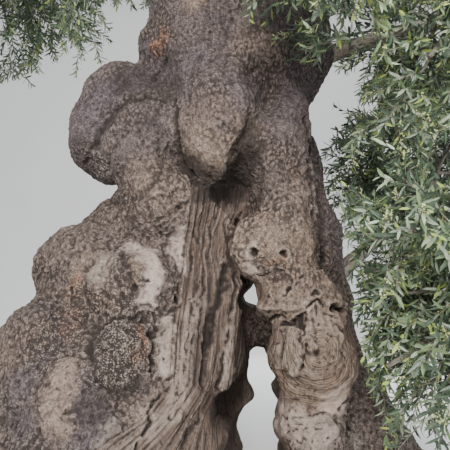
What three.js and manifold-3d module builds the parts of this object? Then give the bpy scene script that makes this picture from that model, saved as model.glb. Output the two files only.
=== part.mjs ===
// An old olive tree: a hollow trunk covered in burls, its boughs and its masses of foliage.
// Millimetres, +Z up. The origin is on the ground at the middle of the trunk's foot.
// The side from which the trunk is seen bare faces -Y.
import * as THREE from 'three';
import { SimplifyModifier } from 'three/addons/modifiers/SimplifyModifier.js';
import { mergeVertices } from 'three/addons/utils/BufferGeometryUtils.js';
import Module from 'manifold-3d';

const wasm = await Module();
wasm.setup();

// Driving dimensions of the fork and crown
const FORK = [170, 0, 2590];
const FORK_REACH = 350;
const FORK_RISE = 370;
const COLLAR_RADII = [270, 200];
const CROWN_CENTRE = [170, 0];
const CLEARANCE = 0.4;
const SOCKET_DEPTH = 110;

// Strands of the trunk: start, end, radius at each, all blended into one smooth body
const BODY = [
  { name: 'left_mass_top', from: [-40, 0, 1750], to: [-180, -20, 1150], radii: [370, 320] },
  { name: 'left_mass_middle', from: [-180, -20, 1150], to: [-200, -40, 600], radii: [320, 350] },
  { name: 'left_mass_foot', from: [-200, -40, 600], to: [-300, -40, -100], radii: [350, 540] },
  { name: 'neck', from: [20, 20, 1650], to: [85, 10, 2150], radii: [390, 430] },
  { name: 'shoulders', from: [85, 10, 2150], to: [175, 10, 2450], radii: [430, 500] },
  { name: 'head', from: [175, 10, 2450], to: FORK, radii: [500, 480] },
  { name: 'nose_bridge', from: [95, -230, 2250], to: [75, -330, 1850], radii: [190, 180] },
  { name: 'back_column_top', from: [320, 60, 2050], to: [440, 80, 1600], radii: [200, 190] },
  { name: 'back_column_middle', from: [440, 80, 1600], to: [530, 110, 1250], radii: [190, 200] },
  { name: 'back_column_low', from: [530, 110, 1250], to: [590, 130, 850], radii: [200, 170] },
  { name: 'back_column_foot', from: [590, 130, 850], to: [690, 160, -100], radii: [170, 300] },
  { name: 'inner_wall', from: [90, 160, 1500], to: [90, 190, 250], radii: [140, 130] },
  { name: 'left_root', from: [-430, -150, 1150], to: [-950, -300, 0], radii: [260, 330] },
  { name: 'front_left_root', from: [-300, -250, 800], to: [-560, -700, -60], radii: [280, 300] },
  { name: 'front_root', from: [-150, -200, 700], to: [-170, -700, -80], radii: [250, 250] },
  { name: 'back_left_root', from: [-400, 200, 900], to: [-850, 500, -50], radii: [250, 260] },
  { name: 'back_root', from: [-100, 250, 900], to: [-150, 850, -50], radii: [280, 260] },
  { name: 'back_right_root', from: [520, 250, 700], to: [700, 700, -60], radii: [180, 240] },
  { name: 'right_root', from: [650, 100, 600], to: [1000, 0, -60], radii: [160, 220] },
];

// The narrow front column on the right and the bridge of wood behind the gap
const COLUMN = [
  { name: 'column_top', from: [360, -150, 2080], to: [370, -290, 1750], radii: [170, 150] },
  { name: 'column_middle', from: [370, -290, 1750], to: [375, -330, 1350], radii: [150, 155] },
  { name: 'column_low', from: [360, -330, 1200], to: [470, -340, 850], radii: [150, 150] },
  { name: 'column_foot', from: [490, -340, 700], to: [440, -340, -60], radii: [150, 140] },
  { name: 'bridge', from: [130, 150, 790], to: [520, 150, 810], radii: [80, 90] },
];

// Burls: rounded swellings, each an ellipsoid with its own three radii
const BURLS = [
  { name: 'dark_lobe', at: [-430, -150, 2010], radii: [210, 220, 200] },
  { name: 'left_lobe', at: [-510, -150, 1790], radii: [215, 230, 240] },
  { name: 'shoulder_lobe', at: [-290, -270, 1770], radii: [230, 200, 260] },
  { name: 'lower_lobe', at: [-190, -260, 1400], radii: [235, 240, 225] },
  { name: 'nose', at: [75, -370, 1760], radii: [215, 215, 300] },
  { name: 'small_round_burl', at: [-290, -200, 2330], radii: [75, 75, 75] },
  { name: 'upper_swelling', at: [270, -300, 2250], radii: [180, 150, 200] },
  { name: 'smooth_knot', at: [-290, -370, 990], radii: [215, 195, 175] },
  { name: 'eye', at: [-320, -460, 720], radii: [150, 170, 150] },
  { name: 'left_shoulder', at: [-560, -230, 1050], radii: [250, 260, 270] },
  { name: 'low_left_burl', at: [-680, -330, 640], radii: [270, 280, 320] },
  { name: 'pale_patch', at: [-540, -540, 480], radii: [130, 180, 180] },
  { name: 'column_face', at: [330, -330, 1180], radii: [205, 190, 195] },
  { name: 'column_saddle', at: [440, -330, 930], radii: [225, 180, 125] },
  { name: 'swirl_burl', at: [515, -340, 680], radii: [190, 180, 215] },
];

// The fan of bare wood between the burls and the gap: ribs that spread toward the foot
const RIB_COUNT = 7;
const RIB_RADII = [30, 38, 48];
const RIB_TOP = [[-150, -330, 1450], [140, -320, 1450]];
const RIB_MIDDLE = [[-230, -375, 950], [140, -375, 950]];
const RIB_FOOT = [[-480, -560, 330], [50, -440, 330]];

// Hollows cut into the trunk: the gap between the two columns and the cave under the fan
const HOLLOWS = [
  { name: 'gap_high', from: [195, -480, 1540], to: [205, -60, 1000], radii: [85, 60] },
  { name: 'gap_front', from: [205, -600, 960], to: [220, -60, 900], radii: [40, 60] },
  { name: 'gap_low', from: [230, -700, 540], to: [360, 700, 560], radii: [90, 90] },
  { name: 'gap_foot', from: [190, -700, 240], to: [350, 700, 300], radii: [150, 130] },
  { name: 'slit', from: [215, -300, 940], to: [275, 700, 1010], radii: [40, 55] },
  { name: 'root_cave', from: [112, -560, 470], to: [160, 0, 450], radii: [75, 115] },
  { name: 'nose_side', from: [205, -520, 1760], to: [170, -480, 1600], radii: [18, 45] },
  { name: 'nose_cavity', from: [170, -480, 1600], to: [120, -320, 1460], radii: [45, 100] },
];

// Broad lumps all over the trunk: two sets of crossing waves, with the length, shift and height of each
const SWELLS = [
  { length: 520, shift: 0.7, height: 17 },
  { length: 330, shift: 2.3, height: 10 },
];

// How far two shapes flow into each other where they meet
const BLEND = { body: 160, column: 60, burl: 55, rib: 30, hollow: 40 };

// The block in which the trunk is meshed, the size of a cell of that mesh, how many faces are kept,
// and how far above the block's floor the mesh is closed off, below the ground
const TRUNK_LOW = [-1450, -1180, -210];
const TRUNK_HIGH = [1400, 1320, 3560];
const TRUNK_CELL = [50, 50, 54];
const TRUNK_FACES = 3580;
const SKIRT_CELLS = 1.5;

// Main boughs of the fork: compass direction in degrees from +X toward +Y, and their masses
const MAIN_BOUGHS = [
  { side: 'back_right', bearing: 30, mass: { reach: 1900, height: 4050, radii: [1200, 1150, 880] } },
  { side: 'back', bearing: 102, mass: { reach: 1850, height: 4420, radii: [1200, 1150, 800] } },
  { side: 'left', bearing: 162, mass: { reach: 1780, height: 3480, radii: [1150, 1180, 920] } },
  { side: 'front_left', bearing: 240, mass: { reach: 1850, height: 4200, radii: [1200, 1150, 860] } },
  { side: 'front_right', bearing: 308, mass: { reach: 1850, height: 4150, radii: [1200, 1150, 860] } },
];
const MAIN_RADII = [145, 48];
const MAIN_LEAN = 0.72;

// Upper boughs: each leaves a main bough part of the way up and carries a mass of the upper crown
const UPPER_BOUGHS = [
  { side: 'upper_back', on: 'back_right', at: 0.42, bearing: 68, reach: 1000, height: 5060 },
  { side: 'upper_left', on: 'left', at: 0.42, bearing: 156, reach: 1020, height: 5040 },
  { side: 'upper_front', on: 'front_left', at: 0.44, bearing: 250, reach: 1000, height: 5000 },
  { side: 'upper_right', on: 'front_right', at: 0.42, bearing: 340, reach: 1020, height: 5080 },
  { side: 'top', on: 'back', at: 0.45, bearing: 104, reach: 80, height: 5420 },
];
const UPPER_RADII = [74, 32];
const UPPER_MASS_RADII = [1050, 1050, 800];

// Side boughs: those that leave the trunk lower down and the ones that hang from others
const SIDE_BOUGHS = [
  {
    side: 'right',
    start: [470, -20, 2300],
    lean: [0.94, 0.1, 0.3],
    tip: [1080, -60, 2480],
    radii: [66, 36],
    mass: { at: [980, -570, 2080], radii: [640, 720, 640] },
  },
  {
    side: 'far_right',
    start: [520, 170, 900],
    lean: [0.72, 0.25, 0.6],
    tip: [1330, 380, 1600],
    radii: [56, 32],
    mass: { at: [1520, 640, 1930], radii: [780, 800, 860] },
  },
  {
    side: 'near_right',
    on: 'right',
    at: 0.62,
    lean: [0.86, -0.4, 0.1],
    tip: [1400, -560, 1640],
    radii: [34, 22],
    mass: { at: [900, -740, 980], radii: [540, 660, 720] },
  },
  {
    side: 'front_hanging',
    on: 'front_right',
    at: 0.7,
    lean: [-0.2, -0.75, 0.1],
    tip: [640, -1010, 2900],
    radii: [40, 24],
    mass: { at: [560, -1000, 2320], radii: [440, 440, 520] },
  },
];

// Limbs: sides round and steps along
const LIMB_SIDES = 8;
const LIMB_STEPS = 4;
const LIMB_BEND = 0.5;

// Growth of a mass: one stem, twigs that leave it toward all sides, sprays along the twigs
const TWIGS = 8;
const TWIG_SIDES = 3;
const TWIG_STEPS = 2;
const STEM_STEPS = 3;
const GOLDEN_ANGLE = Math.PI * (3 - Math.sqrt(5));
const STEM_RADIUS_END = 9;
const TWIG_RADII = [13, 6];
const TIP_INSET = 0.72;
const STEM_STRAIGHT = 0.7;
const STEM_ONWARD = 0.45;
const TWIG_TURN = 0.6;
const TWIG_SHELL = [0.9, 1];
const TWIG_FORK = { behind: 0.22, first: 0.16, last: 0.94 };
const TWIG_BOW = 0.16;
const TWIG_CLEAR = 0.25;
const SPRAY = { length: 600, width: 320, thickness: 20, sunk: 10, widest: 0.45, apart: 0.3, edge: 1.02 };
const SPRAY_LEAN = { along: 0.55, across: 0.85 };
const FULL_SPRAY_RADIUS = 1000;
const SPRAY_PLACES = [0.42, 0.66, 0.86, 1];
const SPACE_MARGIN = 4;
const LIMB_MARGIN = 6;
const TRUNK_MARGIN = 40;

// The open side: no spray hangs between this eye point and the bare trunk
const EYE = [100, -2600, 850];
const OPEN_NEAR = 50;
const OPEN_BACK = 400;
const OPEN_TOP = 0.66;
const OPEN_RIGHT = [
  { rise: -0.3, side: 0.31 },
  { rise: 0.05, side: 0.25 },
  { rise: 0.45, side: 0.23 },
  { rise: 0.54, side: 0.2 },
  { rise: 0.62, side: 0.04 },
];

const bark = new THREE.MeshStandardMaterial({ color: 0x7b6f63, roughness: 0.95, metalness: 0 });
const boughBark = new THREE.MeshStandardMaterial({ color: 0x6b6056, roughness: 0.95, metalness: 0 });
const leafage = new THREE.MeshStandardMaterial({ color: 0x7f8f6b, roughness: 0.7, metalness: 0 });

const vector = (list) => new THREE.Vector3(...list);
const between = (start, end, fraction) => start + (end - start) * fraction;
const polar = (bearing) => {
  const angle = THREE.MathUtils.degToRad(bearing);
  return new THREE.Vector3(Math.cos(angle), Math.sin(angle), 0);
};

// A repeatable stream of numbers from 0 to 1
function seeded(seed) {
  let state = seed >>> 0;
  return () => {
    state = (state + 0x6d2b79f5) >>> 0;
    let mixed = Math.imul(state ^ (state >>> 15), state | 1);
    mixed ^= mixed + Math.imul(mixed ^ (mixed >>> 7), mixed | 61);
    return ((mixed ^ (mixed >>> 14)) >>> 0) / 4294967296;
  };
}

// Smooth union of two distances
function blend(a, b, width) {
  const overlap = Math.max(width - Math.abs(a - b), 0) / width;
  return Math.min(a, b) - overlap * overlap * width * 0.25;
}

// Distance to a round bar whose radius changes from one end to the other
function strandDistance(x, y, z, from, to, radii) {
  const along = [to[0] - from[0], to[1] - from[1], to[2] - from[2]];
  const offset = [x - from[0], y - from[1], z - from[2]];
  const dot = offset[0] * along[0] + offset[1] * along[1] + offset[2] * along[2];
  const size = along[0] ** 2 + along[1] ** 2 + along[2] ** 2;
  const share = Math.min(Math.max(dot / size, 0), 1);
  const gap = Math.hypot(
    offset[0] - share * along[0],
    offset[1] - share * along[1],
    offset[2] - share * along[2],
  );
  return gap - between(radii[0], radii[1], share);
}

// Distance to an ellipsoid
function burlDistance(x, y, z, at, radii) {
  const offset = [x - at[0], y - at[1], z - at[2]];
  const near = Math.hypot(offset[0] / radii[0], offset[1] / radii[1], offset[2] / radii[2]);
  const steep = Math.hypot(offset[0] / radii[0] ** 2, offset[1] / radii[1] ** 2, offset[2] / radii[2] ** 2);
  return (near * (near - 1)) / Math.max(steep, 1e-9);
}

// Collars: the fork swells toward each main bough
const COLLARS = MAIN_BOUGHS.map(({ bearing }) => {
  const base = polar(bearing).multiplyScalar(FORK_REACH).add(vector(FORK));
  base.z += FORK_RISE;
  return { from: FORK, to: base.toArray(), radii: COLLAR_RADII };
});

// Ribs of the fan, each two bars: from its top to its middle, and on to its foot
function fanRibs() {
  const ribs = [];
  for (let index = 0; index < RIB_COUNT; index += 1) {
    const share = index / (RIB_COUNT - 1);
    const place = ([left, right]) => left.map((value, axis) => between(value, right[axis], share));
    const middle = place(RIB_MIDDLE);
    ribs.push({ from: place(RIB_TOP), to: middle, radii: [RIB_RADII[0], RIB_RADII[1]] });
    ribs.push({ from: middle, to: place(RIB_FOOT), radii: [RIB_RADII[1], RIB_RADII[2]] });
  }
  return ribs;
}

const RIBS = fanRibs();

// How far the broad lumps raise the trunk's surface at a place
function swelling(x, y, z) {
  return SWELLS.reduce((sum, { length, shift, height }) => {
    const turns = (value) => (value * 2 * Math.PI) / length;
    const across = Math.sin(turns(x + 0.6 * y) + shift + Math.sin(turns(0.6 * z)));
    const upward = Math.sin(turns(z) - shift + Math.sin(turns(0.7 * y - 0.35 * x)));
    return sum + height * across * upward;
  }, 0);
}

// Distance to the trunk's surface, below zero inside the wood
function trunkField(x, y, z) {
  const strand = ({ from, to, radii }) => strandDistance(x, y, z, from, to, radii);
  const join = (list, width, start) => list.reduce((sum, item) => blend(sum, strand(item), width), start);
  let distance = join([...BODY, ...COLLARS], BLEND.body, Infinity);
  distance = blend(distance, join(COLUMN, BLEND.column, Infinity), BLEND.column);
  for (const { at, radii } of BURLS) {
    distance = blend(distance, burlDistance(x, y, z, at, radii), BLEND.burl);
  }
  distance = join(RIBS, BLEND.rib, distance - swelling(x, y, z));
  return HOLLOWS.reduce((sum, hollow) => -blend(-sum, strand(hollow), BLEND.hollow), distance);
}

// Where wood meets wood only across the diagonal of a grid square, one more corner becomes wood,
// so that the surface is closed and never touches itself along an edge
function fillPinches(values, size) {
  const steps = [1, size[0], size[0] * size[1]];
  const inside = (index) => values[index] < 0;
  let filled = true;
  while (filled) {
    filled = false;
    for (const [first, second] of [[0, 1], [1, 2], [2, 0]]) {
      const across = steps[first] + steps[second];
      for (let index = 0; index + across < values.length; index += 1) {
        const near = index + steps[first];
        const far = index + steps[second];
        const opposite = index + across;
        const alike = inside(index) === inside(opposite) && inside(near) === inside(far);
        if (alike && inside(index) !== inside(near)) {
          values[inside(index) ? near : index] = -1;
          filled = true;
        }
      }
    }
  }
}

// Mesh of the surface where a field is zero: one point in each cell that the surface crosses
function meshField(field, low, high, cell) {
  const size = low.map((start, axis) => Math.ceil((high[axis] - start) / cell[axis]) + 1);
  const indexOf = (i, j, k) => (k * size[1] + j) * size[0] + i;
  const place = (i, j, k) => [low[0] + i * cell[0], low[1] + j * cell[1], low[2] + k * cell[2]];
  const values = new Float64Array(size[0] * size[1] * size[2]);
  for (let k = 0; k < size[2]; k += 1) {
    for (let j = 0; j < size[1]; j += 1) {
      for (let i = 0; i < size[0]; i += 1) {
        values[indexOf(i, j, k)] = field(...place(i, j, k));
      }
    }
  }
  fillPinches(values, size);
  const corners = [0, 1, 2, 3, 4, 5, 6, 7].map((bits) => [bits & 1, (bits >> 1) & 1, (bits >> 2) & 1]);
  const edges = [];
  for (let first = 0; first < 8; first += 1) {
    for (const bit of [1, 2, 4]) {
      if (!(first & bit)) {
        edges.push([first, first | bit]);
      }
    }
  }
  const positions = [];
  const pointOf = new Int32Array(values.length).fill(-1);
  const cellPoint = (i, j, k) => {
    const sum = [0, 0, 0];
    let crossings = 0;
    for (const [first, last] of edges) {
      const start = corners[first];
      const end = corners[last];
      const startValue = values[indexOf(i + start[0], j + start[1], k + start[2])];
      const endValue = values[indexOf(i + end[0], j + end[1], k + end[2])];
      if (startValue < 0 !== endValue < 0) {
        const share = startValue / (startValue - endValue);
        for (let axis = 0; axis < 3; axis += 1) {
          sum[axis] += between(start[axis], end[axis], share);
        }
        crossings += 1;
      }
    }
    if (crossings > 0) {
      pointOf[indexOf(i, j, k)] = positions.length / 3;
      const origin = place(i, j, k);
      positions.push(...sum.map((value, axis) => origin[axis] + (value / crossings) * cell[axis]));
    }
  };
  for (let k = 0; k < size[2] - 1; k += 1) {
    for (let j = 0; j < size[1] - 1; j += 1) {
      for (let i = 0; i < size[0] - 1; i += 1) {
        cellPoint(i, j, k);
      }
    }
  }
  const distanceBetween = (a, b) => Math.hypot(
    positions[3 * a] - positions[3 * b],
    positions[3 * a + 1] - positions[3 * b + 1],
    positions[3 * a + 2] - positions[3 * b + 2],
  );
  const triangles = [];
  const addQuad = (a, b, c, d, inward) => {
    const [p, q, r, s] = inward ? [a, d, c, b] : [a, b, c, d];
    if (distanceBetween(p, r) <= distanceBetween(q, s)) {
      triangles.push(p, q, r, p, r, s);
    } else {
      triangles.push(q, r, s, q, s, p);
    }
  };
  for (let k = 1; k < size[2] - 1; k += 1) {
    for (let j = 1; j < size[1] - 1; j += 1) {
      for (let i = 1; i < size[0] - 1; i += 1) {
        const inside = values[indexOf(i, j, k)] < 0;
        const cellAt = (di, dj, dk) => pointOf[indexOf(i - di, j - dj, k - dk)];
        if (inside !== values[indexOf(i + 1, j, k)] < 0) {
          addQuad(cellAt(0, 1, 1), cellAt(0, 0, 1), cellAt(0, 0, 0), cellAt(0, 1, 0), !inside);
        }
        if (inside !== values[indexOf(i, j + 1, k)] < 0) {
          addQuad(cellAt(1, 0, 1), cellAt(1, 0, 0), cellAt(0, 0, 0), cellAt(0, 0, 1), !inside);
        }
        if (inside !== values[indexOf(i, j, k + 1)] < 0) {
          addQuad(cellAt(1, 1, 0), cellAt(0, 1, 0), cellAt(0, 0, 0), cellAt(1, 0, 0), !inside);
        }
      }
    }
  }
  return meshGeometry(positions, triangles);
}

function meshGeometry(positions, triangles) {
  const geometry = new THREE.BufferGeometry();
  geometry.setAttribute('position', new THREE.Float32BufferAttribute(positions, 3));
  geometry.setIndex(triangles);
  return geometry;
}

// A closed geometry becomes a solid that can be joined and cut
function toSolid(geometry) {
  const bare = geometry.clone();
  bare.deleteAttribute('normal');
  bare.deleteAttribute('uv');
  const merged = mergeVertices(bare, 1e-3);
  return new wasm.Manifold(new wasm.Mesh({
    numProp: 3,
    vertProperties: new Float32Array(merged.attributes.position.array),
    triVerts: new Uint32Array(merged.index.array),
  }));
}

// The largest closed shell of a solid: loose scraps are dropped and sealed hollows are filled
function largestShell(solid) {
  const { numProp, vertProperties, triVerts } = solid.getMesh();
  const parent = Array.from({ length: vertProperties.length / numProp }, (_, index) => index);
  const rootOf = (index) => {
    let root = index;
    while (parent[root] !== root) {
      parent[root] = parent[parent[root]];
      root = parent[root];
    }
    return root;
  };
  for (let start = 0; start < triVerts.length; start += 3) {
    parent[rootOf(triVerts[start + 1])] = rootOf(triVerts[start]);
    parent[rootOf(triVerts[start + 2])] = rootOf(triVerts[start]);
  }
  const corner = (index) => new THREE.Vector3().fromArray(vertProperties, index * numProp);
  const volumes = new Map();
  for (let start = 0; start < triVerts.length; start += 3) {
    const [a, b, c] = [corner(triVerts[start]), corner(triVerts[start + 1]), corner(triVerts[start + 2])];
    const shell = rootOf(triVerts[start]);
    volumes.set(shell, (volumes.get(shell) ?? 0) + a.dot(b.cross(c)) / 6);
  }
  const [largest] = [...volumes.entries()].sort((first, second) => second[1] - first[1])[0];
  const positions = [];
  for (const index of triVerts) {
    if (rootOf(index) === largest) {
      positions.push(...corner(index).toArray());
    }
  }
  const geometry = new THREE.BufferGeometry();
  geometry.setAttribute('position', new THREE.Float32BufferAttribute(positions, 3));
  return mergeVertices(geometry, 1e-4);
}

// A closed tube along a curve; fit widens it and lengthens its foot, which makes the tool for a socket
function tubeGeometry({ path, radii }, steps, sides, fit = 0) {
  const frames = path.computeFrenetFrames(steps);
  const positions = [];
  const triangles = [];
  for (let step = 0; step <= steps; step += 1) {
    const middle = path.getPointAt(step / steps);
    if (step === 0) {
      middle.addScaledVector(frames.tangents[0], -fit);
    }
    const radius = between(radii[0], radii[1], step / steps) + fit;
    for (let side = 0; side < sides; side += 1) {
      const angle = (2 * Math.PI * side) / sides;
      const point = middle.clone();
      point.addScaledVector(frames.normals[step], radius * Math.cos(angle));
      point.addScaledVector(frames.binormals[step], radius * Math.sin(angle));
      positions.push(...point.toArray());
    }
  }
  const ringPoint = (step, side) => step * sides + (side % sides);
  for (let step = 0; step < steps; step += 1) {
    for (let side = 0; side < sides; side += 1) {
      const [here, beside] = [ringPoint(step, side), ringPoint(step, side + 1)];
      const [above, aboveBeside] = [ringPoint(step + 1, side), ringPoint(step + 1, side + 1)];
      triangles.push(here, beside, aboveBeside, here, aboveBeside, above);
    }
  }
  for (let side = 1; side < sides - 1; side += 1) {
    triangles.push(0, side + 1, side);
    triangles.push(ringPoint(steps, 0), ringPoint(steps, side), ringPoint(steps, side + 1));
  }
  return meshGeometry(positions, triangles);
}

const limbGeometry = (limb, fit = 0) => tubeGeometry(limb, LIMB_STEPS, LIMB_SIDES, fit);

// A limb leaves its start in one direction and bends over toward its tip
function makeLimb(name, start, lean, tip, radii) {
  const bend = start.clone().addScaledVector(lean, start.distanceTo(tip) * LIMB_BEND);
  const path = new THREE.QuadraticBezierCurve3(start, bend, tip);
  const spine = path.getSpacedPoints(LIMB_STEPS);
  return { name, path, radii, spine, sockets: [] };
}

// Where a bough that comes from a point ends: just inside the mass that it carries
function tipInMass(from, mass) {
  const inward = mass.at.clone().sub(from).normalize();
  return mass.at.clone().sub(inward.multiply(mass.radii).multiplyScalar(TIP_INSET));
}

const limbs = new Map();
const masses = [];

function crownPlace(bearing, reach, height) {
  const place = polar(bearing).multiplyScalar(reach);
  return new THREE.Vector3(place.x + CROWN_CENTRE[0], place.y + CROWN_CENTRE[1], height);
}

function addBough(side, limb, mass) {
  limbs.set(side, limb);
  const spraySize = Math.min(1, (mass.radii.x + mass.radii.y + mass.radii.z) / 3 / FULL_SPRAY_RADIUS);
  masses.push({ name: `foliage_${side}`, at: mass.at, radii: mass.radii, limb, spraySize });
}

// Main boughs of the fork
MAIN_BOUGHS.forEach(({ side, bearing, mass }, index) => {
  const lean = polar(bearing).multiplyScalar(MAIN_LEAN);
  lean.z = Math.sqrt(1 - MAIN_LEAN ** 2);
  const start = vector(COLLARS[index].to).addScaledVector(lean, -SOCKET_DEPTH);
  const space = { at: crownPlace(bearing, mass.reach, mass.height), radii: vector(mass.radii) };
  const limb = makeLimb(`bough_${side}`, start, lean, tipInMass(start, space), MAIN_RADII);
  addBough(side, limb, space);
});

// Upper boughs, each in a socket of its main bough
for (const { side, on, at, bearing, reach, height } of UPPER_BOUGHS) {
  const carrier = limbs.get(on);
  const start = carrier.path.getPointAt(at);
  const space = { at: crownPlace(bearing, reach, height), radii: vector(UPPER_MASS_RADII) };
  const tip = tipInMass(start, space);
  const lean = tip.clone().sub(start).normalize().add(carrier.path.getTangentAt(at)).normalize();
  addBough(side, makeLimb(`bough_${side}`, start, lean, tip, UPPER_RADII), space);
  carrier.sockets.push(side);
}

// Side boughs, from the trunk or from another bough
for (const { side, start, on, at, lean, radii, mass, tip } of SIDE_BOUGHS) {
  const carrier = on ? limbs.get(on) : null;
  const root = carrier ? carrier.path.getPointAt(at) : vector(start);
  const space = { at: vector(mass.at), radii: vector(mass.radii) };
  const direction = vector(lean).normalize();
  addBough(side, makeLimb(`bough_${side}`, root, direction, vector(tip), radii), space);
  carrier?.sockets.push(side);
}

// Shortest distance between two straight stretches
function stretchDistance(a, b, c, d) {
  const first = b.clone().sub(a);
  const second = d.clone().sub(c);
  const apart = a.clone().sub(c);
  const [aa, bb, ab] = [first.dot(first), second.dot(second), first.dot(second)];
  const [ac, bc] = [first.dot(apart), second.dot(apart)];
  const spread = aa * bb - ab * ab;
  const clamp = (value) => Math.min(Math.max(value, 0), 1);
  let share = spread > 1e-9 ? clamp((ab * bc - ac * bb) / spread) : 0;
  const other = clamp((ab * share + bc) / bb);
  share = clamp((ab * other - ac) / aa);
  const onFirst = a.clone().addScaledVector(first, share);
  return onFirst.distanceTo(c.clone().addScaledVector(second, other));
}

function touchesLimb(start, end, radius) {
  for (const { spine, radii } of limbs.values()) {
    for (let step = 0; step < LIMB_STEPS; step += 1) {
      const reach = between(radii[0], radii[1], step / LIMB_STEPS) + radius + LIMB_MARGIN;
      if (stretchDistance(start, end, spine[step], spine[step + 1]) < reach) {
        return true;
      }
    }
  }
  return false;
}

// A mass keeps to its ellipsoid, and to its own side of the plane between it and each other mass
function inSpace(mass, point) {
  const offset = point.clone().sub(mass.at);
  if (offset.clone().divide(mass.radii).lengthSq() > 1) {
    return false;
  }
  const size = (space) => (space.radii.x + space.radii.y + space.radii.z) / 3;
  return masses.every((other) => {
    if (other === mass) {
      return true;
    }
    const power = offset.lengthSq() - size(mass) ** 2;
    const otherPower = point.distanceToSquared(other.at) - size(other) ** 2;
    return (otherPower - power) / (2 * mass.at.distanceTo(other.at)) > SPACE_MARGIN;
  });
}

// True in front of the bare side of the trunk, as seen from the eye point
function inOpening(point) {
  const depth = point.y - EYE[1];
  if (point.y > OPEN_BACK || depth < OPEN_NEAR) {
    return false;
  }
  const rise = (point.z - EYE[2]) / depth;
  const side = (point.x - EYE[0]) / depth;
  if (rise > OPEN_TOP) {
    return false;
  }
  let limit = OPEN_RIGHT[0].side;
  for (let index = 1; index < OPEN_RIGHT.length; index += 1) {
    const low = OPEN_RIGHT[index - 1];
    const high = OPEN_RIGHT[index];
    if (rise > low.rise) {
      const share = Math.min((rise - low.rise) / (high.rise - low.rise), 1);
      limit = between(low.side, high.side, share);
    }
  }
  return side < limit;
}

function isFree(mass, points, radius) {
  const start = points[0];
  const end = points[points.length - 1];
  const middle = start.clone().lerp(end, 0.5);
  const nearTrunk = [start, middle, end].some(({ x, y, z }) => trunkField(x, y, z) < TRUNK_MARGIN);
  return points.every((point) => inSpace(mass, point))
    && !nearTrunk
    && !inOpening(end)
    && !inOpening(middle)
    && !touchesLimb(start, end, radius);
}

// Two directions square to a third
function sideways(direction) {
  const helper = Math.abs(direction.z) < 0.9 ? new THREE.Vector3(0, 0, 1) : new THREE.Vector3(1, 0, 0);
  const across = helper.clone().cross(direction).normalize();
  return [across, direction.clone().cross(across)];
}

// A spray of leaves: a pointed blade of eight faces, flat across the direction named by facing
function makeSpray(mass, root, direction, facing) {
  const size = mass.spraySize;
  const across = direction.clone().cross(facing).normalize();
  const over = direction.clone().cross(across);
  const waist = root.clone().addScaledVector(direction, SPRAY.length * size * SPRAY.widest);
  const tip = root.clone().addScaledVector(direction, SPRAY.length * size);
  return {
    root: root.clone().addScaledVector(direction, -SPRAY.sunk),
    tip,
    clear: root.clone().lerp(tip, SPRAY.widest / 2),
    waist: [
      waist.clone().addScaledVector(across, (SPRAY.width * size) / 2),
      waist.clone().addScaledVector(over, SPRAY.thickness / 2),
      waist.clone().addScaledVector(across, (-SPRAY.width * size) / 2),
      waist.clone().addScaledVector(over, -SPRAY.thickness / 2),
    ],
  };
}

// Sprays of one mass keep apart, except near the twig that both grow from
function crossesSpray(spray, others, apart) {
  return others.some((other) => stretchDistance(spray.clear, spray.tip, other.clear, other.tip) < apart);
}

function sprayGeometry({ root, tip, waist }) {
  const positions = [root, tip, ...waist].flatMap((point) => point.toArray());
  const triangles = [];
  for (let side = 0; side < 4; side += 1) {
    const here = 2 + side;
    const next = 2 + ((side + 1) % 4);
    triangles.push(0, next, here, 1, here, next);
  }
  return meshGeometry(positions, triangles);
}

// The stem starts at the bough's tip, clear of it, and runs on through the middle of the mass
function stemPath(mass) {
  const { path } = mass.limb;
  const heading = path.getTangentAt(1);
  const start = path.getPointAt(1).addScaledVector(heading, CLEARANCE);
  const onward = mass.at.clone().sub(start);
  const end = mass.at.clone().addScaledVector(onward, STEM_ONWARD);
  const bend = start.clone().addScaledVector(heading, onward.length() * STEM_STRAIGHT);
  return new THREE.QuadraticBezierCurve3(start, bend, end);
}

// Twig number index of a mass: it leaves the stem and bends toward its own part of the shell
function twigPath(mass, stem, index, random) {
  const height = 1 - (2 * (index + 0.5)) / TWIGS;
  const turn = index * GOLDEN_ANGLE + random() * TWIG_TURN;
  const level = Math.sqrt(1 - height * height);
  const outward = new THREE.Vector3(level * Math.cos(turn), level * Math.sin(turn), height);
  const inset = mass.radii.clone().subScalar(SPRAY.length * mass.spraySize * SPRAY.edge);
  inset.multiplyScalar(between(TWIG_SHELL[0], TWIG_SHELL[1], random()));
  const end = mass.at.clone().add(outward.clone().multiply(inset));
  const line = stem.getPoint(1).sub(stem.getPoint(0));
  const along = end.clone().sub(stem.getPoint(0)).dot(line) / line.lengthSq();
  const leave = Math.min(Math.max(along - TWIG_FORK.behind, TWIG_FORK.first), TWIG_FORK.last);
  const start = stem.getPoint(leave);
  const length = start.distanceTo(end);
  const bend = start.clone().lerp(end, 0.5).addScaledVector(stem.getTangent(leave), length * TWIG_BOW);
  return new THREE.QuadraticBezierCurve3(start, bend, end);
}

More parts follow.
